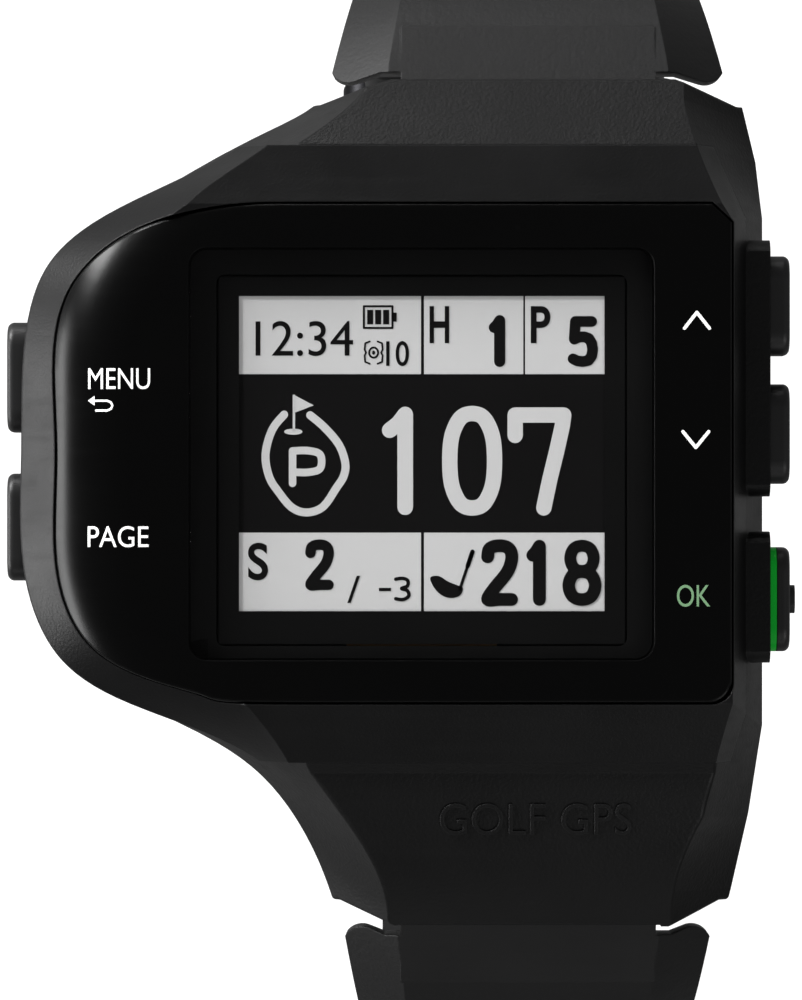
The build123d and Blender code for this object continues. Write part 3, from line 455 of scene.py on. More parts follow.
@dataclass(frozen=True)
class Finish:
    """One finish: its colours, gloss and texture, with grain, depth and arris in metres, and a glow that is painted
    light.
    """

    name: str
    color: Color
    worn: Color
    roughness: float
    base: Base = Base.NONMETAL
    roughness_swing: float = 0.12
    specular: float = 0.5
    grain: float = 0.00025
    swell: float = 0.4
    depth: float = 0.000012
    specks: float = 0.25
    streaks: float = 0.3
    arris: float = 0.00015
    coat: float = 0.0
    alpha: float = 1.0
    # painted light: emission that makes a part look brighter though it gives no light of its own
    glow: float = 0.0

    def build(self, groups: Groups) -> bpy.types.Material:
        """Makes the material.

        Args:
            groups: the shared shader groups.

        Returns:
            The finished material.
        """
        material = bpy.data.materials.new(self.name)
        material.use_nodes = True
        tree = material.node_tree
        shader = tree.nodes["Principled BSDF"]
        # The emission is painted light: a glow in the finish's own colour on a part that is no lamp.
        set_inputs(shader, {
            "Metallic": self.base.value, "Specular IOR Level": self.specular, "Coat Weight": self.coat,
            "Coat Roughness": COAT_ROUGHNESS, "Alpha": self.alpha, "Emission Color": (*self.color, 1),
            "Emission Strength": self.glow,
        })
        grain_values = {"Size": self.grain, "Swell": self.swell}
        handling_values = {"Specks": self.specks, "Streaks": self.streaks}
        grain = add_node(tree, "ShaderNodeGroup", grain_values, node_tree=groups.grain)
        handling = add_node(tree, "ShaderNodeGroup", handling_values, node_tree=groups.handling)
        arris = add_node(tree, "ShaderNodeGroup", {"Radius": self.arris}, node_tree=groups.rounding)

        colors = {"A": (*self.color, 1), "B": (*self.worn, 1)}
        tone = add_node(tree, "ShaderNodeMix", colors, data_type="RGBA")
        share = add_node(tree, "ShaderNodeMath", {1: EDGE_WEAR}, operation="MULTIPLY_ADD")
        capped = add_node(tree, "ShaderNodeClamp")
        wire(
            tree,
            (arris, "Edge", share, 0), (handling, "Dust", share, 2), (share, 0, capped, "Value"),
            (capped, 0, tone, "Factor"), (tone, "Result", shader, "Base Color"),
        )

        gloss = add_node(tree, "ShaderNodeMapRange", {
            "To Min": max(LEAST_ROUGHNESS, self.roughness - self.roughness_swing),
            "To Max": min(1.0, self.roughness + self.roughness_swing),
        })
        rubbed = add_node(tree, "ShaderNodeMath", {1: self.roughness_swing}, operation="MULTIPLY_ADD")
        wire(
            tree,
            (grain, "Patch", gloss, "Value"), (handling, "Rub", rubbed, 0), (gloss, "Result", rubbed, 2),
            (rubbed, 0, shader, "Roughness"),
        )

        bump = add_node(tree, "ShaderNodeBump", {"Distance": self.depth, "Strength": 1.0})
        wire(
            tree,
            (grain, "Height", bump, "Height"), (arris, "Normal", bump, "Normal"),
            (bump, "Normal", shader, "Normal"),
        )
        return material


def grey(value: float) -> Color:
    """A neutral colour, a touch bluer than even."""
    return (value, value, value * 1.03)


FINISHES = {
    finish.name: finish
    for finish in (
        Finish("case_resin", grey(0.0035), grey(0.03), 0.42, specular=0.16, grain=0.00022, depth=0.00003),
        Finish("shell_resin", grey(0.0035), grey(0.03), 0.38, specular=0.16, grain=0.00018, depth=0.000018),
        Finish("cover_black", grey(0.0006), grey(0.01), 0.24, roughness_swing=0.05, specular=0.12, grain=0.00012,
               depth=0.000002, specks=0.1, arris=0.0001),
        Finish("window_clear", grey(0.0006), grey(0.01), 0.08, roughness_swing=0.04, specular=0.2,
               grain=0.0005, depth=0.0000005, specks=0.05, arris=0.0002, alpha=0.12),
        Finish("border_print", grey(0.0008), grey(0.004), 0.5, specular=0.2, grain=0.0002, depth=0.000002,
               arris=0.00002),
        Finish("lcd_base", (0.004, 0.0037, 0.0039), grey(0.02), 0.55, specular=0.15, grain=0.00016, depth=0.000001,
               specks=0.0, arris=0.00001),
        # The pale liquid crystal carries a painted glow: emission that stands in for the light falling on it.
        Finish("lcd_lit", (0.8, 0.8, 0.8), (0.7, 0.7, 0.7), 0.6, specular=0.1, grain=0.00016, depth=0.000002,
               specks=0.0, arris=0.00001, glow=0.12),
        # The white and green print carry a painted glow: emission that stands in for the light falling on them.
        Finish("white_print", (0.8, 0.8, 0.79), (0.5, 0.5, 0.5), 0.45, grain=0.00008, depth=0.000002, arris=0.00001,
               glow=0.5),
        Finish("green_print", (0.16, 0.3, 0.16), (0.08, 0.12, 0.08), 0.45, grain=0.00008, depth=0.000002,
               arris=0.00001, glow=0.25),
        # The green ring carries a painted glow: emission that stands in for the light falling on it.
        Finish("green_resin", (0.002, 0.3, 0.02), (0.02, 0.35, 0.05), 0.35, specular=0.15, grain=0.0002,
               depth=0.000004, glow=0.2),
        Finish("button_resin", grey(0.01), grey(0.03), 0.4, specular=0.3, grain=0.0002, depth=0.000008),
        Finish("strap_rubber", grey(0.005), grey(0.02), 0.5, specular=0.25, grain=0.00028, swell=0.5, depth=0.00003,
               streaks=0.4),
        Finish("seal_rubber", grey(0.02), grey(0.05), 0.6, grain=0.0004, depth=0.000006),
        Finish("steel", (0.55, 0.55, 0.54), (0.7, 0.7, 0.69), 0.3, Base.METAL, grain=0.00012, swell=0.7,
               depth=0.000003),
        Finish("coated_steel", (0.012, 0.012, 0.013), (0.2, 0.2, 0.2), 0.42, Base.METAL, grain=0.0002,
               depth=0.000004),
        Finish("gold", (0.85, 0.6, 0.25), (0.9, 0.7, 0.4), 0.25, Base.METAL, grain=0.0001, depth=0.000002),
        Finish("board_resist", (0.01, 0.12, 0.05), (0.05, 0.2, 0.1), 0.35, grain=0.0006, depth=0.000006, coat=0.3),
        Finish("chip_epoxy", grey(0.02), grey(0.05), 0.5, grain=0.0001, depth=0.000004),
        Finish("light_guide", (0.8, 0.8, 0.78), (0.7, 0.7, 0.7), 0.3, grain=0.0008, depth=0.000004),
        Finish("amber_film", (0.5, 0.22, 0.04), (0.6, 0.3, 0.1), 0.3, grain=0.0005, depth=0.000004),
        Finish("fired_ceramic", (0.7, 0.62, 0.48), (0.8, 0.75, 0.65), 0.55, grain=0.00015, depth=0.000006),
        Finish("cell_foil", (0.5, 0.51, 0.53), (0.7, 0.7, 0.7), 0.35, Base.METAL, grain=0.0007, depth=0.00001),
    )
}
NODE_FINISH = {
    "case_body": "case_resin", "case_back": "case_resin", "upper_shell": "shell_resin", "face_cover": "cover_black",
    "display_window": "window_clear", "window_gasket": "border_print", "lcd_panel": "lcd_base",
    "backlight": "light_guide", "display_flex": "amber_film", "flex_connector": "light_guide",
    "main_board": "board_resist", "board_chips": "chip_epoxy", "shield_can": "steel",
    "gps_antenna": "fired_ceramic",
    "battery": "cell_foil", "battery_tabs": "steel", "buzzer": "gold", "side_switches": "steel",
    "button_seals": "seal_rubber", "back_gasket": "seal_rubber", "back_screws": "steel", "charging_pins": "gold",
    "upper_spring_bar": "steel", "lower_spring_bar": "steel", "buckle_spring_bar": "steel",
    "upper_strap": "strap_rubber", "lower_strap": "strap_rubber", "fixed_keeper": "strap_rubber",
    "sliding_keeper": "strap_rubber", "buckle_frame": "coated_steel", "buckle_tongue": "coated_steel",
    "ok_ring": "green_resin",
}
ROLE_FINISH = {"button": "button_resin", "clip": "steel", "spring": "steel"}


class Wardrobe:
    """Every material, made once and handed out by name."""

    def __init__(self) -> None:
        """Builds the shared groups and every finish."""
        groups = Groups()
        self.materials = {name: finish.build(groups) for name, finish in FINISHES.items()}

    def dress(self, piece: bpy.types.Object, finish: str) -> None:
        """Gives a piece one material in place of whatever it had."""
        piece.data.materials.clear()
        piece.data.materials.append(self.materials[finish])

    def dress_frame(self) -> None:
        """Gives every CAD node its finish."""
        for node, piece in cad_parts.items():
            role = node.rpartition("_")[2]
            finish = NODE_FINISH.get(node, ROLE_FINISH.get(role, "case_resin"))
            for place in piece.material_slots:
                place.material = self.materials[finish]
            LOG.info("%s wears %s", node, finish)


# ---------------------------------------------------------------- display
class Layer(IntEnum):
    """The films that the display's artwork lies in, bottom first."""

    LIT = 0
    DARK = 1
    OVER = 2


@dataclass(frozen=True)
class Glyph:
    """A digit's middle line in a unit square, right and down from its upper left corner."""

    points: tuple[Point, ...]
    closed: bool = False
    smooth: bool = True


GLYPHS = {
    "0": Glyph(
        ((0.5, 0), (0.72, 0.03), (0.87, 0.13), (0.97, 0.28), (1, 0.5), (0.97, 0.72), (0.87, 0.87), (0.72, 0.97),
         (0.5, 1), (0.28, 0.97), (0.13, 0.87), (0.03, 0.72), (0, 0.5), (0.03, 0.28), (0.13, 0.13), (0.28, 0.03)),
        closed=True,
    ),
    "1": Glyph(((0, 0.17), (0.55, 0.1), (1, 0), (1, 1)), smooth=False),
    "2": Glyph(
        ((0, 0.2), (0.06, 0.06), (0.3, 0), (0.7, 0), (0.95, 0.08), (1, 0.26), (0.8, 0.5), (0.3, 0.78), (0, 1),
         (0.5, 1), (1, 1)),
    ),
    "3": Glyph(
        ((0, 0.04), (0.5, 0), (0.92, 0.1), (0.9, 0.36), (0.45, 0.48), (0.9, 0.58), (1, 0.84), (0.55, 1), (0, 0.96)),
    ),
    "5": Glyph(
        ((0.95, 0), (0.12, 0), (0.06, 0.44), (0.28, 0.39), (0.55, 0.38), (0.8, 0.42), (0.95, 0.54), (1, 0.7),
         (0.95, 0.86), (0.78, 0.97), (0.5, 1), (0.2, 0.98), (0, 0.93)),
        smooth=False,
    ),
    "7": Glyph(
        ((0, 0.22), (0, 0), (1, 0), (0.97, 0.12), (0.85, 0.4), (0.71, 0.7), (0.59, 1)),
        smooth=False,
    ),
    "loop": Glyph(
        ((0.5, 0), (0.85, 0.12), (1, 0.5), (0.85, 0.88), (0.5, 1), (0.15, 0.88), (0, 0.5), (0.15, 0.12)),
        closed=True,
    ),
}
DIGIT_STEPS, SIGN_STEPS = 5, 4
# Artwork boxes are left, top, right and bottom, in millimetres from the active area's corner.
DARK_TEXT: tuple[tuple[str, Box, float], ...] = (
    ("12:34", (1.1, 1.66, 7.58, 3.99), 0.0),
    ("10", (9.78, 2.99, 11.3, 4.66), 0.01),
    ("H", (12.67, 0.67, 13.97, 3.13), 0.02),
    ("P", (19.4, 0.67, 20.7, 3.13), 0.02),
    ("S", (0.6, 16.4, 1.93, 18.9), 0.02),
    ("/", (7.2, 18.6, 8.05, 20.4), 0.0),
)
MINUS: Box = (9.3, 19.4, 10.1, 19.62)
# Each digit with its box, its stroke's width and its layer. The eight is two loops, one over the other.
DARK_DIGITS: tuple[tuple[str, Box, float, Layer], ...] = (
    ("3", (10.3, 18.65, 11.4, 20.3), 0.24, Layer.DARK),
    ("1", (16.6, 1.26, 17.7, 4.72), 0.74, Layer.DARK),
    ("5", (21.85, 1.33, 23.87, 4.72), 0.72, Layer.DARK),
    ("2", (4.4, 16.2, 6.3, 19.55), 0.7, Layer.DARK),
    ("2", (16.1, 16.2, 18.55, 20.6), 0.86, Layer.DARK),
    ("1", (19.1, 16.2, 20.4, 20.6), 0.86, Layer.DARK),
    ("loop", (21.62, 16.2, 23.98, 18.68), 0.8, Layer.DARK),
    ("loop", (21.5, 17.9, 24.1, 20.6), 0.84, Layer.OVER),
)
LIGHT_DIGITS: tuple[tuple[str, Box, float, Layer], ...] = (
    ("1", (9.5, 7.35, 11.57, 14.56), 1.04, Layer.LIT),
    ("0", (13.5, 7.3, 17.5, 14.6), 1.02, Layer.LIT),
    ("7", (17.85, 7.4, 22.1, 14.6), 1.02, Layer.LIT),
)
BATTERY_OUTLINE = [(8.3, 0.68), (10.2, 0.68), (10.2, 2.12), (8.3, 2.12)]
BATTERY_NUB: Box = (10.2, 1.1, 10.48, 1.7)
BATTERY_BAR: Box = (8.52, 0.92, 8.92, 1.88)
BATTERY_PITCH, BATTERY_BARS, BATTERY_LINE = 0.53, 3, 0.14
SATELLITE: Point = (8.95, 3.76)
SATELLITE_RING: Point = (0.3, 0.34)
SATELLITE_BRACKET = [
    (0.26, -0.74), (0.56, -0.62), (0.6, -0.2), (0.5, 0), (0.6, 0.2), (0.56, 0.62), (0.26, 0.74),
]
RING_POINTS, RING_LINE, BRACKET_LINE, DOT_LINE, DOT_HALF = 16, 0.13, 0.12, 0.2, 0.04
CLUB_HEAD = [
    (12.72, 18.72), (13.3, 18.62), (13.9, 18.98), (14.5, 19.22), (14.88, 19.4), (14.7, 19.9), (14.1, 20.08),
    (13.45, 19.88), (12.95, 19.36),
]
CLUB_SHAFT = [(14.68, 19.5), (15.5, 17.05)]
CLUB_GRIP = [(15.2, 17.95), (15.52, 17.0)]
SHAFT_LINE, GRIP_LINE = 0.2, 0.3
GREEN = [
    (3.0, 7.88), (2.2, 8.9), (1.76, 10.53), (2.0, 12.0), (2.59, 12.97), (3.5, 14.05), (4.52, 14.39), (5.6, 14.0),
    (6.46, 12.77), (6.95, 12.0), (7.07, 11.13), (6.66, 9.91), (5.7, 8.75), (4.73, 7.92),
]
GREEN_LINE, LETTER_LINE = 0.53, 0.5
LETTER_FOOT: Point = (3.56, 12.45)
LETTER_BOWL = [(3.56, 10.3), (4.6, 10.28), (5.4, 10.55), (5.4, 11.45), (4.6, 11.72), (3.58, 11.7)]
FLAG_POLE: Box = (3.57, 6.56, 3.73, 9.0)
FLAG = [(3.7, 7.75), (4.97, 7.27), (3.7, 6.6)]
FLAG_BASE: Point = (3.61, 9.02)
FLAG_BASE_RADII: Point = (0.61, 0.2)
FLAG_BASE_TURNS = [-step / 3 for step in range(19)]  # radians, once round


@dataclass
class Display:
    """The liquid crystal's artwork: lit strips, dark band, digits and signs, and the printed border over it.

    Artwork is given in millimetres right and down from the active area's upper left corner.
    """

    wardrobe: Wardrobe
    left: float = -19.35
    top: float = 13.83
    width: float = 24.3
    height: float = 20.95
    upper_band: float = 5.19
    lower_band: float = 15.73
    upper_panes: tuple[Point, ...] = ((0, 12.1), (12.3, 18.9), (19.02, 24.3))
    lower_panes: tuple[Point, ...] = ((0, 12.1), (12.3, 24.3))
    film: float = 0.02
    film_sunk: float = 0.25
    border_above: float = 0.16
    border_sunk: float = 0.02
    floor: float = field(init=False)

    def __post_init__(self) -> None:
        """Takes the height of the panel's top from the frame."""
        self.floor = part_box("lcd_panel")[1].z / MM

    def at(self, right: float, down: float) -> Point:
        """Where a point of the artwork is in the frame, in millimetres."""
        return (self.left + right, self.top - down)

    def line(self, points: list[Point]) -> list[Point]:
        """Where a line of the artwork is in the frame."""
        return [self.at(*point) for point in points]

    def level(self, layer: Layer) -> Point:
        """The lower and upper height of one layer of film, each sunk a little into the one below."""
        low = self.floor + layer * self.film
        return low - self.film_sunk * self.film, low + self.film

    def build(self) -> None:
        """Builds every layer, bottom first."""
        # The lit strips and the light signs wear lcd_lit, whose emission is a painted glow that stands in for
        # light.
        layers = (
            (self._lit(), "lcd_lit", "lcd"), (self._dark_ink(), "lcd_base", "lcd"),
            (self._light_ink(), "lcd_lit", "lcd"), (self._border(), "border_print", "cover_gloss"),
        )
        for piece, finish, slot in layers:
            self.wardrobe.dress(piece, finish)
            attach(piece, "case")

    def _block(self, box: Box, layer: Layer) -> bmesh.types.BMesh:
        """A rectangle given by its left, top, right and bottom."""
        left, top, right, bottom = box
        return prism(self.line([(left, bottom), (right, bottom), (right, top), (left, top)]), *self.level(layer))

    def _text(self, text: str, box: Box, weight: float, layer: Layer) -> bmesh.types.BMesh:
        """Letters that fill a rectangle given by its left, top, right and bottom."""
        left, top, right, bottom = box
        return lettering(text, (*self.at(left, bottom), *self.at(right, top)), *self.level(layer), weight)

    def _stroke(self, points: list[Point], width: float, layer: Layer, closed: bool = False) -> bmesh.types.BMesh:
        """A round-ended stroke of the artwork."""
        return stroke(self.line(points), width, *self.level(layer), closed)

    def _digit(self, digit: str, box: Box, width: float, layer: Layer) -> bmesh.types.BMesh:
        """A rounded digit drawn as one stroke inside a rectangle.

        Args:
            digit: which glyph.
            box: its left, top, right and bottom, to the outside of the stroke.
            width: the stroke's width.
            layer: the layer it lies on.

        Returns:
            The solid.
        """
        left, top, right, bottom = (edge + shift * width / 2 for edge, shift in zip(box, (1, 1, -1, -1)))
        glyph = GLYPHS[digit]
        points = [(left + u * (right - left), top + v * (bottom - top)) for u, v in glyph.points]
        if glyph.smooth:
            points = smooth_line(points, DIGIT_STEPS, glyph.closed)
        return self._stroke(points, width, layer, glyph.closed)

    def _lit(self) -> bpy.types.Object:
        """The two lit strips, cut by their dividing gaps."""
        boxes = [(left, 0, right, self.upper_band) for left, right in self.upper_panes]
        boxes += [(left, self.lower_band, right, self.height) for left, right in self.lower_panes]
        return joined("display_lit_strips", [self._block(box, Layer.LIT) for box in boxes])

    def _battery(self) -> list[bmesh.types.BMesh]:
        """The battery sign: outline, nub and bars."""
        left, top, right, bottom = BATTERY_BAR
        shifts = [BATTERY_PITCH * bar for bar in range(BATTERY_BARS)]
        bars = [self._block((left + shift, top, right + shift, bottom), Layer.DARK) for shift in shifts]
        outline = self._stroke(BATTERY_OUTLINE, BATTERY_LINE, Layer.DARK, True)
        return [outline, self._block(BATTERY_NUB, Layer.DARK), *bars]

    def _satellite(self) -> list[bmesh.types.BMesh]:
        """The satellite sign: a dot in a ring, between two brackets."""
        x, y = SATELLITE
        wide, tall = SATELLITE_RING
        turns = [math.tau * step / RING_POINTS for step in range(RING_POINTS)]
        ring = [(x + wide * math.cos(turn), y + tall * math.sin(turn)) for turn in turns]
        dot = [(x, y - DOT_HALF), (x, y + DOT_HALF)]
        signs = [self._stroke(ring, RING_LINE, Layer.DARK, True), self._stroke(dot, DOT_LINE, Layer.DARK)]
        for side in (-1, 1):
            bracket = [(x + side * across, y + down) for across, down in SATELLITE_BRACKET]
            signs.append(self._stroke(bracket, BRACKET_LINE, Layer.DARK))
        return signs

    def _club(self) -> list[bmesh.types.BMesh]:
        """The club sign: a driver's head, its shaft and a thicker grip."""
        head = prism(self.line(smooth_line(CLUB_HEAD, SIGN_STEPS, True)), *self.level(Layer.DARK))
        shaft = self._stroke(CLUB_SHAFT, SHAFT_LINE, Layer.DARK)
        return [head, shaft, self._stroke(CLUB_GRIP, GRIP_LINE, Layer.DARK)]

    def _dark_ink(self) -> bpy.types.Object:
        """What is dark on the lit strips: time, battery, satellite, hole, par, shot and total."""
        ink = [self._text(text, box, weight, Layer.DARK) for text, box, weight in DARK_TEXT]
        ink.append(self._block(MINUS, Layer.DARK))
        ink += [self._digit(*digit) for digit in DARK_DIGITS]
        return joined("display_dark_signs", ink + self._battery() + self._satellite() + self._club())

    def _light_ink(self) -> bpy.types.Object:
        """What is lit on the dark band: the green with its flag, and the distance to it."""
        (x, y), (wide, tall) = FLAG_BASE, FLAG_BASE_RADII
        base = [(x + wide * math.cos(turn), y + tall * math.sin(turn)) for turn in FLAG_BASE_TURNS]
        ink = [
            self._stroke(smooth_line(GREEN, SIGN_STEPS), GREEN_LINE, Layer.LIT),
            self._stroke([LETTER_FOOT, *smooth_line(LETTER_BOWL, DIGIT_STEPS)], LETTER_LINE, Layer.LIT),
            self._block(FLAG_POLE, Layer.LIT),
            prism(self.line(FLAG), *self.level(Layer.LIT)),
            prism(self.line(base), *self.level(Layer.LIT)),
        ]
        return joined("display_light_signs", ink + [self._digit(*digit) for digit in LIGHT_DIGITS])

    def _border(self) -> bpy.types.Object:
        """The black border printed behind the window, round the active area."""
        low, high = self.floor + self.border_above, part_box("window_gasket")[0].z / MM + self.border_sunk
        outer_low, outer_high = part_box("lcd_panel")
        x0, y0 = outer_low.x / MM, outer_low.y / MM
        x1, y1 = outer_high.x / MM, outer_high.y / MM
        u0, v1, u1, v0 = self.left, self.top, self.left + self.width, self.top - self.height
        bars = [
            [(x0, v1), (x1, v1), (x1, y1), (x0, y1)], [(x0, y0), (x1, y0), (x1, v0), (x0, v0)],
            [(x0, v0), (u0, v0), (u0, v1), (x0, v1)], [(u1, v0), (x1, v0), (x1, v1), (u1, v1)],
        ]
        return joined("display_border", [prism(bar, low, high) for bar in bars])


# ---------------------------------------------------------------- printed and raised marks on the case
# Word boxes are left, bottom, right and top, in millimetres in the frame.
MENU_BOX: Box = (-29.33, 7.61, -25.2, 9.0)
PAGE_BOX: Box = (-29.36, -2.86, -25.3, -1.46)
OK_BOX: Box = (9.7, -6.8, 11.9, -5.35)
LUG_BOX: Box = (-6.0, -22.1, 6.8, -19.95)
RETURN_TAIL = [
    (-28.95, 6.85), (-28.05, 6.85), (-27.8, 6.74), (-27.7, 6.53), (-27.8, 6.31), (-28.05, 6.2), (-28.8, 6.2),
]
RETURN_HEAD = [(-29.35, 6.85), (-28.9, 6.53), (-28.9, 7.17)]
UP_ARROW = [(10.2, 11.65), (11.02, 12.7), (11.85, 11.65)]
DOWN_ARROW = [(10.1, 4.8), (10.95, 3.75), (11.8, 4.8)]
RETURN_LINE, ARROW_LINE = 0.14, 0.22


@dataclass
class Markings:
    """The words and arrows beside the buttons, and the raised letters on the lower lug."""

    wardrobe: Wardrobe
    ink: float = 0.03
    ink_sunk: float = 0.012
    relief: float = 0.22
    relief_sunk: float = 0.08

    def build(self) -> None:
        """Builds and lays every mark."""
        white = [
            lettering("MENU", MENU_BOX, 0, self.ink),
            lettering("PAGE", PAGE_BOX, 0, self.ink),
            stroke(RETURN_TAIL, RETURN_LINE, 0, self.ink),
            prism(RETURN_HEAD, 0, self.ink),
            stroke(UP_ARROW, ARROW_LINE, 0, self.ink),
            stroke(DOWN_ARROW, ARROW_LINE, 0, self.ink),
        ]
        face = surface_below(["face_cover", "upper_shell"])
        lug = surface_below(["case_body", "upper_shell"])
        green = [lettering("OK", OK_BOX, 0, self.ink)]
        raised = [lettering("GOLF GPS", LUG_BOX, 0, self.relief)]
        # The white and green print wear finishes with a painted glow that stands in for light.
        for name, solids, surface, sunk, finish, slot in (
            ("face_print_white", white, face, self.ink_sunk, "white_print", "cover_gloss"),
            ("face_print_green", green, face, self.ink_sunk, "green_print", "cover_gloss"),
            ("lug_lettering", raised, lug, self.relief_sunk, "case_resin", "case_plastic"),
        ):
            piece = joined(name, solids)
            lay_on(piece, surface, sunk)
            self.wardrobe.dress(piece, finish)
            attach(piece, "case")


# ---------------------------------------------------------------- what repeats, by geometry nodes
class Socket(Enum):
    """The kinds of input that the geometry group here takes."""

    FLOAT = "NodeSocketFloat"
    MATERIAL = "NodeSocketMaterial"


def geometry_group(name: str, inputs: dict[str, Socket]) -> bpy.types.GeometryNodeTree:
    """A geometry node group that takes and gives geometry.

    Args:
        name: the group's name.
        inputs: its other inputs.

    Returns:
        The group, with its input and output nodes in it.
    """
    group = bpy.data.node_groups.new(name, "GeometryNodeTree")
    group.interface.new_socket("Geometry", in_out="INPUT", socket_type="NodeSocketGeometry")
    for label, kind in inputs.items():
        group.interface.new_socket(label, in_out="INPUT", socket_type=kind.value)
    group.interface.new_socket("Geometry", in_out="OUTPUT", socket_type="NodeSocketGeometry")
    group.nodes.new("NodeGroupInput").name = "in"
    group.nodes.new("NodeGroupOutput").name = "out"
    return group


def run_group(
    name: str, seed_mesh: bpy.types.Mesh, group: bpy.types.GeometryNodeTree, values: dict[str, object]
) -> bpy.types.Object:
    """Runs a geometry group on a mesh and keeps only the plain result.

    Args:
        name: the new piece's name.
        seed_mesh: the mesh that goes in.
        group: the group.
        values: the values of its named inputs.

    Returns:
        The new piece.
    """
    holder = new_piece(name + "_seed", seed_mesh)
    modifier = holder.modifiers.new("make", "NODES")
    modifier.node_group = group
    for item in group.interface.items_tree:
        if item.in_out == "INPUT" and item.name in values:
            modifier[item.identifier] = values[item.name]
    mesh = baked(holder, name)
    return new_piece(name, mesh)


@dataclass
class StrapRibs:
    """Low ribs moulded across the inside of each strap, which let sweat and air past."""

    wardrobe: Wardrobe
    pitch: float = 2.6
    half_width: float = 6.4
    radius: float = 0.34
    path_steps: int = 60
    runs: tuple[tuple[str, int, float, float], ...] = (
        ("upper_strap", 1, -44.0, -8.0), ("lower_strap", -1, -32.0, -8.0),
    )

    def build(self) -> None:
        """Makes both straps' ribs."""
        group = self._group()
        for strap, side, low, high in self.runs:
            path = self._path(strap, side, low, high)
            values = {
                "Pitch": self.pitch * MM, "Half Width": self.half_width * MM, "Radius": self.radius * MM,
                "Material": self.wardrobe.materials["strap_rubber"],
            }
            ribs = run_group(strap + "_ribs", path, group, values)
            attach(ribs, strap)

    def _path(self, strap: str, side: int, low: float, high: float) -> bpy.types.Mesh:
        """A line down the strap's inner face.

        Args:
            strap: the strap's node.
            side: 1 at twelve o'clock, -1 at six.
            low: the height of its lower end in millimetres.
            high: the height of its upper end in millimetres.

        Returns:
            A mesh of vertices and edges.
        """
        tree = surface_below([strap])
        points = []
        for step in range(self.path_steps + 1):
            height = high + (low - high) * step / self.path_steps
            hit = tree.ray_cast(Vector((0, 0, height * MM)), Vector((0, side, 0)))[0]
            if hit:
                points.append(hit)
        mesh = bpy.data.meshes.new(strap + "_inner_line")
        mesh.from_pydata(points, [(index, index + 1) for index in range(len(points) - 1)], [])
        return mesh

    @staticmethod
    def _group() -> bpy.types.GeometryNodeTree:
        """The group: even points along the line, each with a round-ended bar across it."""
        inputs = {name: Socket.FLOAT for name in ("Pitch", "Half Width", "Radius")} | {"Material": Socket.MATERIAL}
        group = geometry_group("strap_ribs", inputs)
        given, result = group.nodes["in"], group.nodes["out"]
        line = add_node(group, "GeometryNodeMeshToCurve")
        spots = add_node(group, "GeometryNodeCurveToPoints", mode="LENGTH")
        twice = add_node(group, "ShaderNodeMath", {1: 2.0}, operation="MULTIPLY")
        bar = add_node(group, "GeometryNodeMeshCylinder", {"Vertices": 14})
        lie = add_node(group, "GeometryNodeTransform", {"Rotation": (0.0, math.pi / 2, 0.0)})
        cap = add_node(group, "GeometryNodeMeshUVSphere", {"Segments": 14, "Rings": 8})
        one_bar = add_node(group, "GeometryNodeJoinGeometry")
        wire(
            group,
            (given, "Geometry", line, "Mesh"), (line, "Curve", spots, "Curve"), (given, "Pitch", spots, "Length"),
            (given, "Half Width", twice, 0), (given, "Radius", bar, "Radius"), (twice, 0, bar, "Depth"),
            (bar, "Mesh", lie, "Geometry"), (given, "Radius", cap, "Radius"),
            (lie, "Geometry", one_bar, "Geometry"),
        )
        for sign in (-1.0, 1.0):
            reach = add_node(group, "ShaderNodeMath", {1: sign}, operation="MULTIPLY")
            place = add_node(group, "ShaderNodeCombineXYZ")
            end = add_node(group, "GeometryNodeTransform")
            wire(
                group,
                (given, "Half Width", reach, 0), (reach, 0, place, "X"), (cap, "Mesh", end, "Geometry"),
                (place, "Vector", end, "Translation"), (end, "Geometry", one_bar, "Geometry"),
            )
        scatter = add_node(group, "GeometryNodeInstanceOnPoints")
        real = add_node(group, "GeometryNodeRealizeInstances")
        paint = add_node(group, "GeometryNodeSetMaterial")
        wire(
            group,
            (spots, "Points", scatter, "Points"), (one_bar, "Geometry", scatter, "Instance"),
            (scatter, "Instances", real, "Geometry"), (real, "Geometry", paint, "Geometry"),
            (given, "Material", paint, "Material"), (paint, "Geometry", result, "Geometry"),
        )
        return group


# ---------------------------------------------------------------- stage
WHITE = (1, 1, 1, 1)


@dataclass(frozen=True)
class Softbox:
    """A soft rectangular light, with its place and size in metres and its power in watts."""

    name: str
    spot: Place
    area: Point
    power: float

    def build(self) -> None:
        """Adds the light, aimed at the middle of the case back."""
        lamp = bpy.data.lights.new(self.name, "AREA")
        lamp.shape = "RECTANGLE"
        lamp.size, lamp.size_y = self.area
        lamp.energy = self.power
        light = bpy.data.objects.new(self.name, lamp)
        bpy.context.scene.collection.objects.link(light)
        light.location = self.spot
        light.rotation_euler = (-Vector(self.spot)).to_track_quat("-Z", "Y").to_euler()


SOFTBOXES = (
    Softbox("light_corner", (-0.38, 0.33, 0.17), (0.25, 0.16), 5.5),
    Softbox("light_left", (-0.50, -0.08, 0.05), (0.4, 0.10), 2.5),
    Softbox("light_top", (-0.14, 0.56, 0.10), (0.3, 0.11), 1.1),
    Softbox("light_right", (0.5, -0.05, 0.08), (0.3, 0.12), 0.04),
    Softbox("light_low", (0.0, -0.5, 0.2), (0.4, 0.14), 0.2),
    Softbox("light_fill", (0.33, -0.36, 0.5), (0.3, 0.3), 1.2),
)


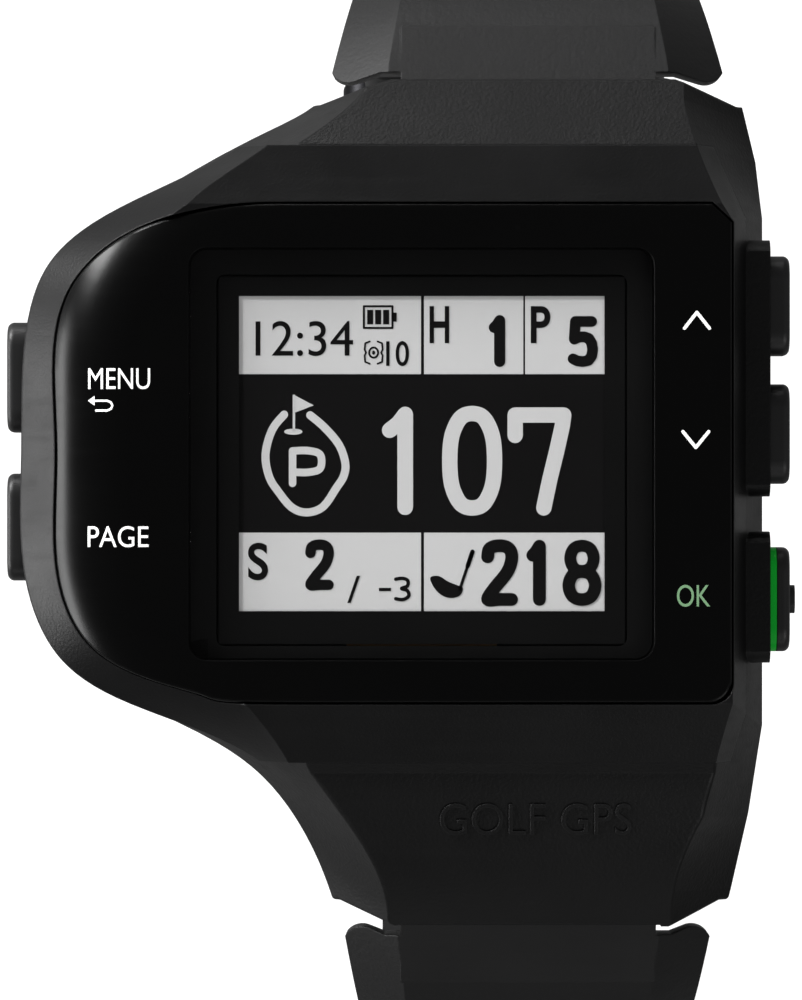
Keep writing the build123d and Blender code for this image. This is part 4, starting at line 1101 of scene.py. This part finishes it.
@dataclass
class Stage:
    """The white floor, the faint surround, the soft lights and the camera, in metres."""

    aim: Place = (-0.00858, 0.00027, 0.01245)
    distance: float = 0.42
    lens: float = 227.4
    floor_half: float = 1.2
    floor_bounce: float = 0.06
    surround: float = 0.2

    def build(self) -> None:
        """Sets the whole stage."""
        self._floor()
        self._world()
        for softbox in SOFTBOXES:
            softbox.build()
        self._camera()

    def _floor(self) -> None:
        """A plain white floor under the watch."""
        low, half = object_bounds()[0][2], self.floor_half
        mesh = bpy.data.meshes.new("floor")
        corners = [(-half, -half, low), (half, -half, low), (half, half, low), (-half, half, low)]
        mesh.from_pydata(corners, [], [(0, 1, 2, 3)])
        floor = new_piece("floor", mesh)
        material = bpy.data.materials.new("floor_paper")
        material.use_nodes = True
        tree = material.node_tree
        shader = tree.nodes["Principled BSDF"]
        set_inputs(shader, {
            "Base Color": (0.2, 0.2, 0.2, 1), "Roughness": 0.9, "Specular IOR Level": 0.0, "Emission Color": WHITE,
        })
        # Full white to the camera, and only a little of it on the watch.
        seen = add_node(tree, "ShaderNodeLightPath")
        glow = add_node(tree, "ShaderNodeMapRange", {"To Min": self.floor_bounce, "To Max": 1.0})
        wire(tree, (seen, "Is Camera Ray", glow, "Value"), (glow, "Result", shader, "Emission Strength"))
        # Clear from below, so that the underside of the watch can be looked at.
        side = add_node(tree, "ShaderNodeNewGeometry")
        shown = add_node(tree, "ShaderNodeMath", {0: 1.0}, operation="SUBTRACT")
        wire(tree, (side, "Backfacing", shown, 1), (shown, 0, shader, "Alpha"))
        floor.data.materials.append(material)
        floor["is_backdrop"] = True

    def _world(self) -> None:
        """A faint even surround."""
        world = bpy.data.worlds.new("surround")
        bpy.context.scene.world = world
        world.use_nodes = True
        set_inputs(world.node_tree.nodes["Background"], {"Color": WHITE, "Strength": self.surround})
        bpy.context.scene.view_settings.view_transform = "Standard"

    def _camera(self) -> None:
        """A camera square to the face."""
        lens = bpy.data.cameras.new("camera")
        lens.lens = self.lens
        lens.sensor_width = 36
        lens.sensor_fit = "AUTO"
        lens.clip_start = 0.01
        lens.clip_end = 20
        camera = bpy.data.objects.new("camera", lens)
        bpy.context.scene.collection.objects.link(camera)
        camera.location = Vector(self.aim) + Vector((0, 0, self.distance))
        bpy.context.scene.camera = camera


def main() -> None:
    """Dresses the frame, adds the artwork and sets the stage, in that order."""
    logging.basicConfig(level=logging.INFO, format="%(name)s: %(message)s")
    wardrobe = Wardrobe()
    wardrobe.dress_frame()
    LOG.info("display")
    Display(wardrobe).build()
    LOG.info("markings")
    Markings(wardrobe).build()
    LOG.info("ribs")
    StrapRibs(wardrobe).build()
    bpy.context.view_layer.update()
    Stage().build()


if __name__ == "__main__":
    main()
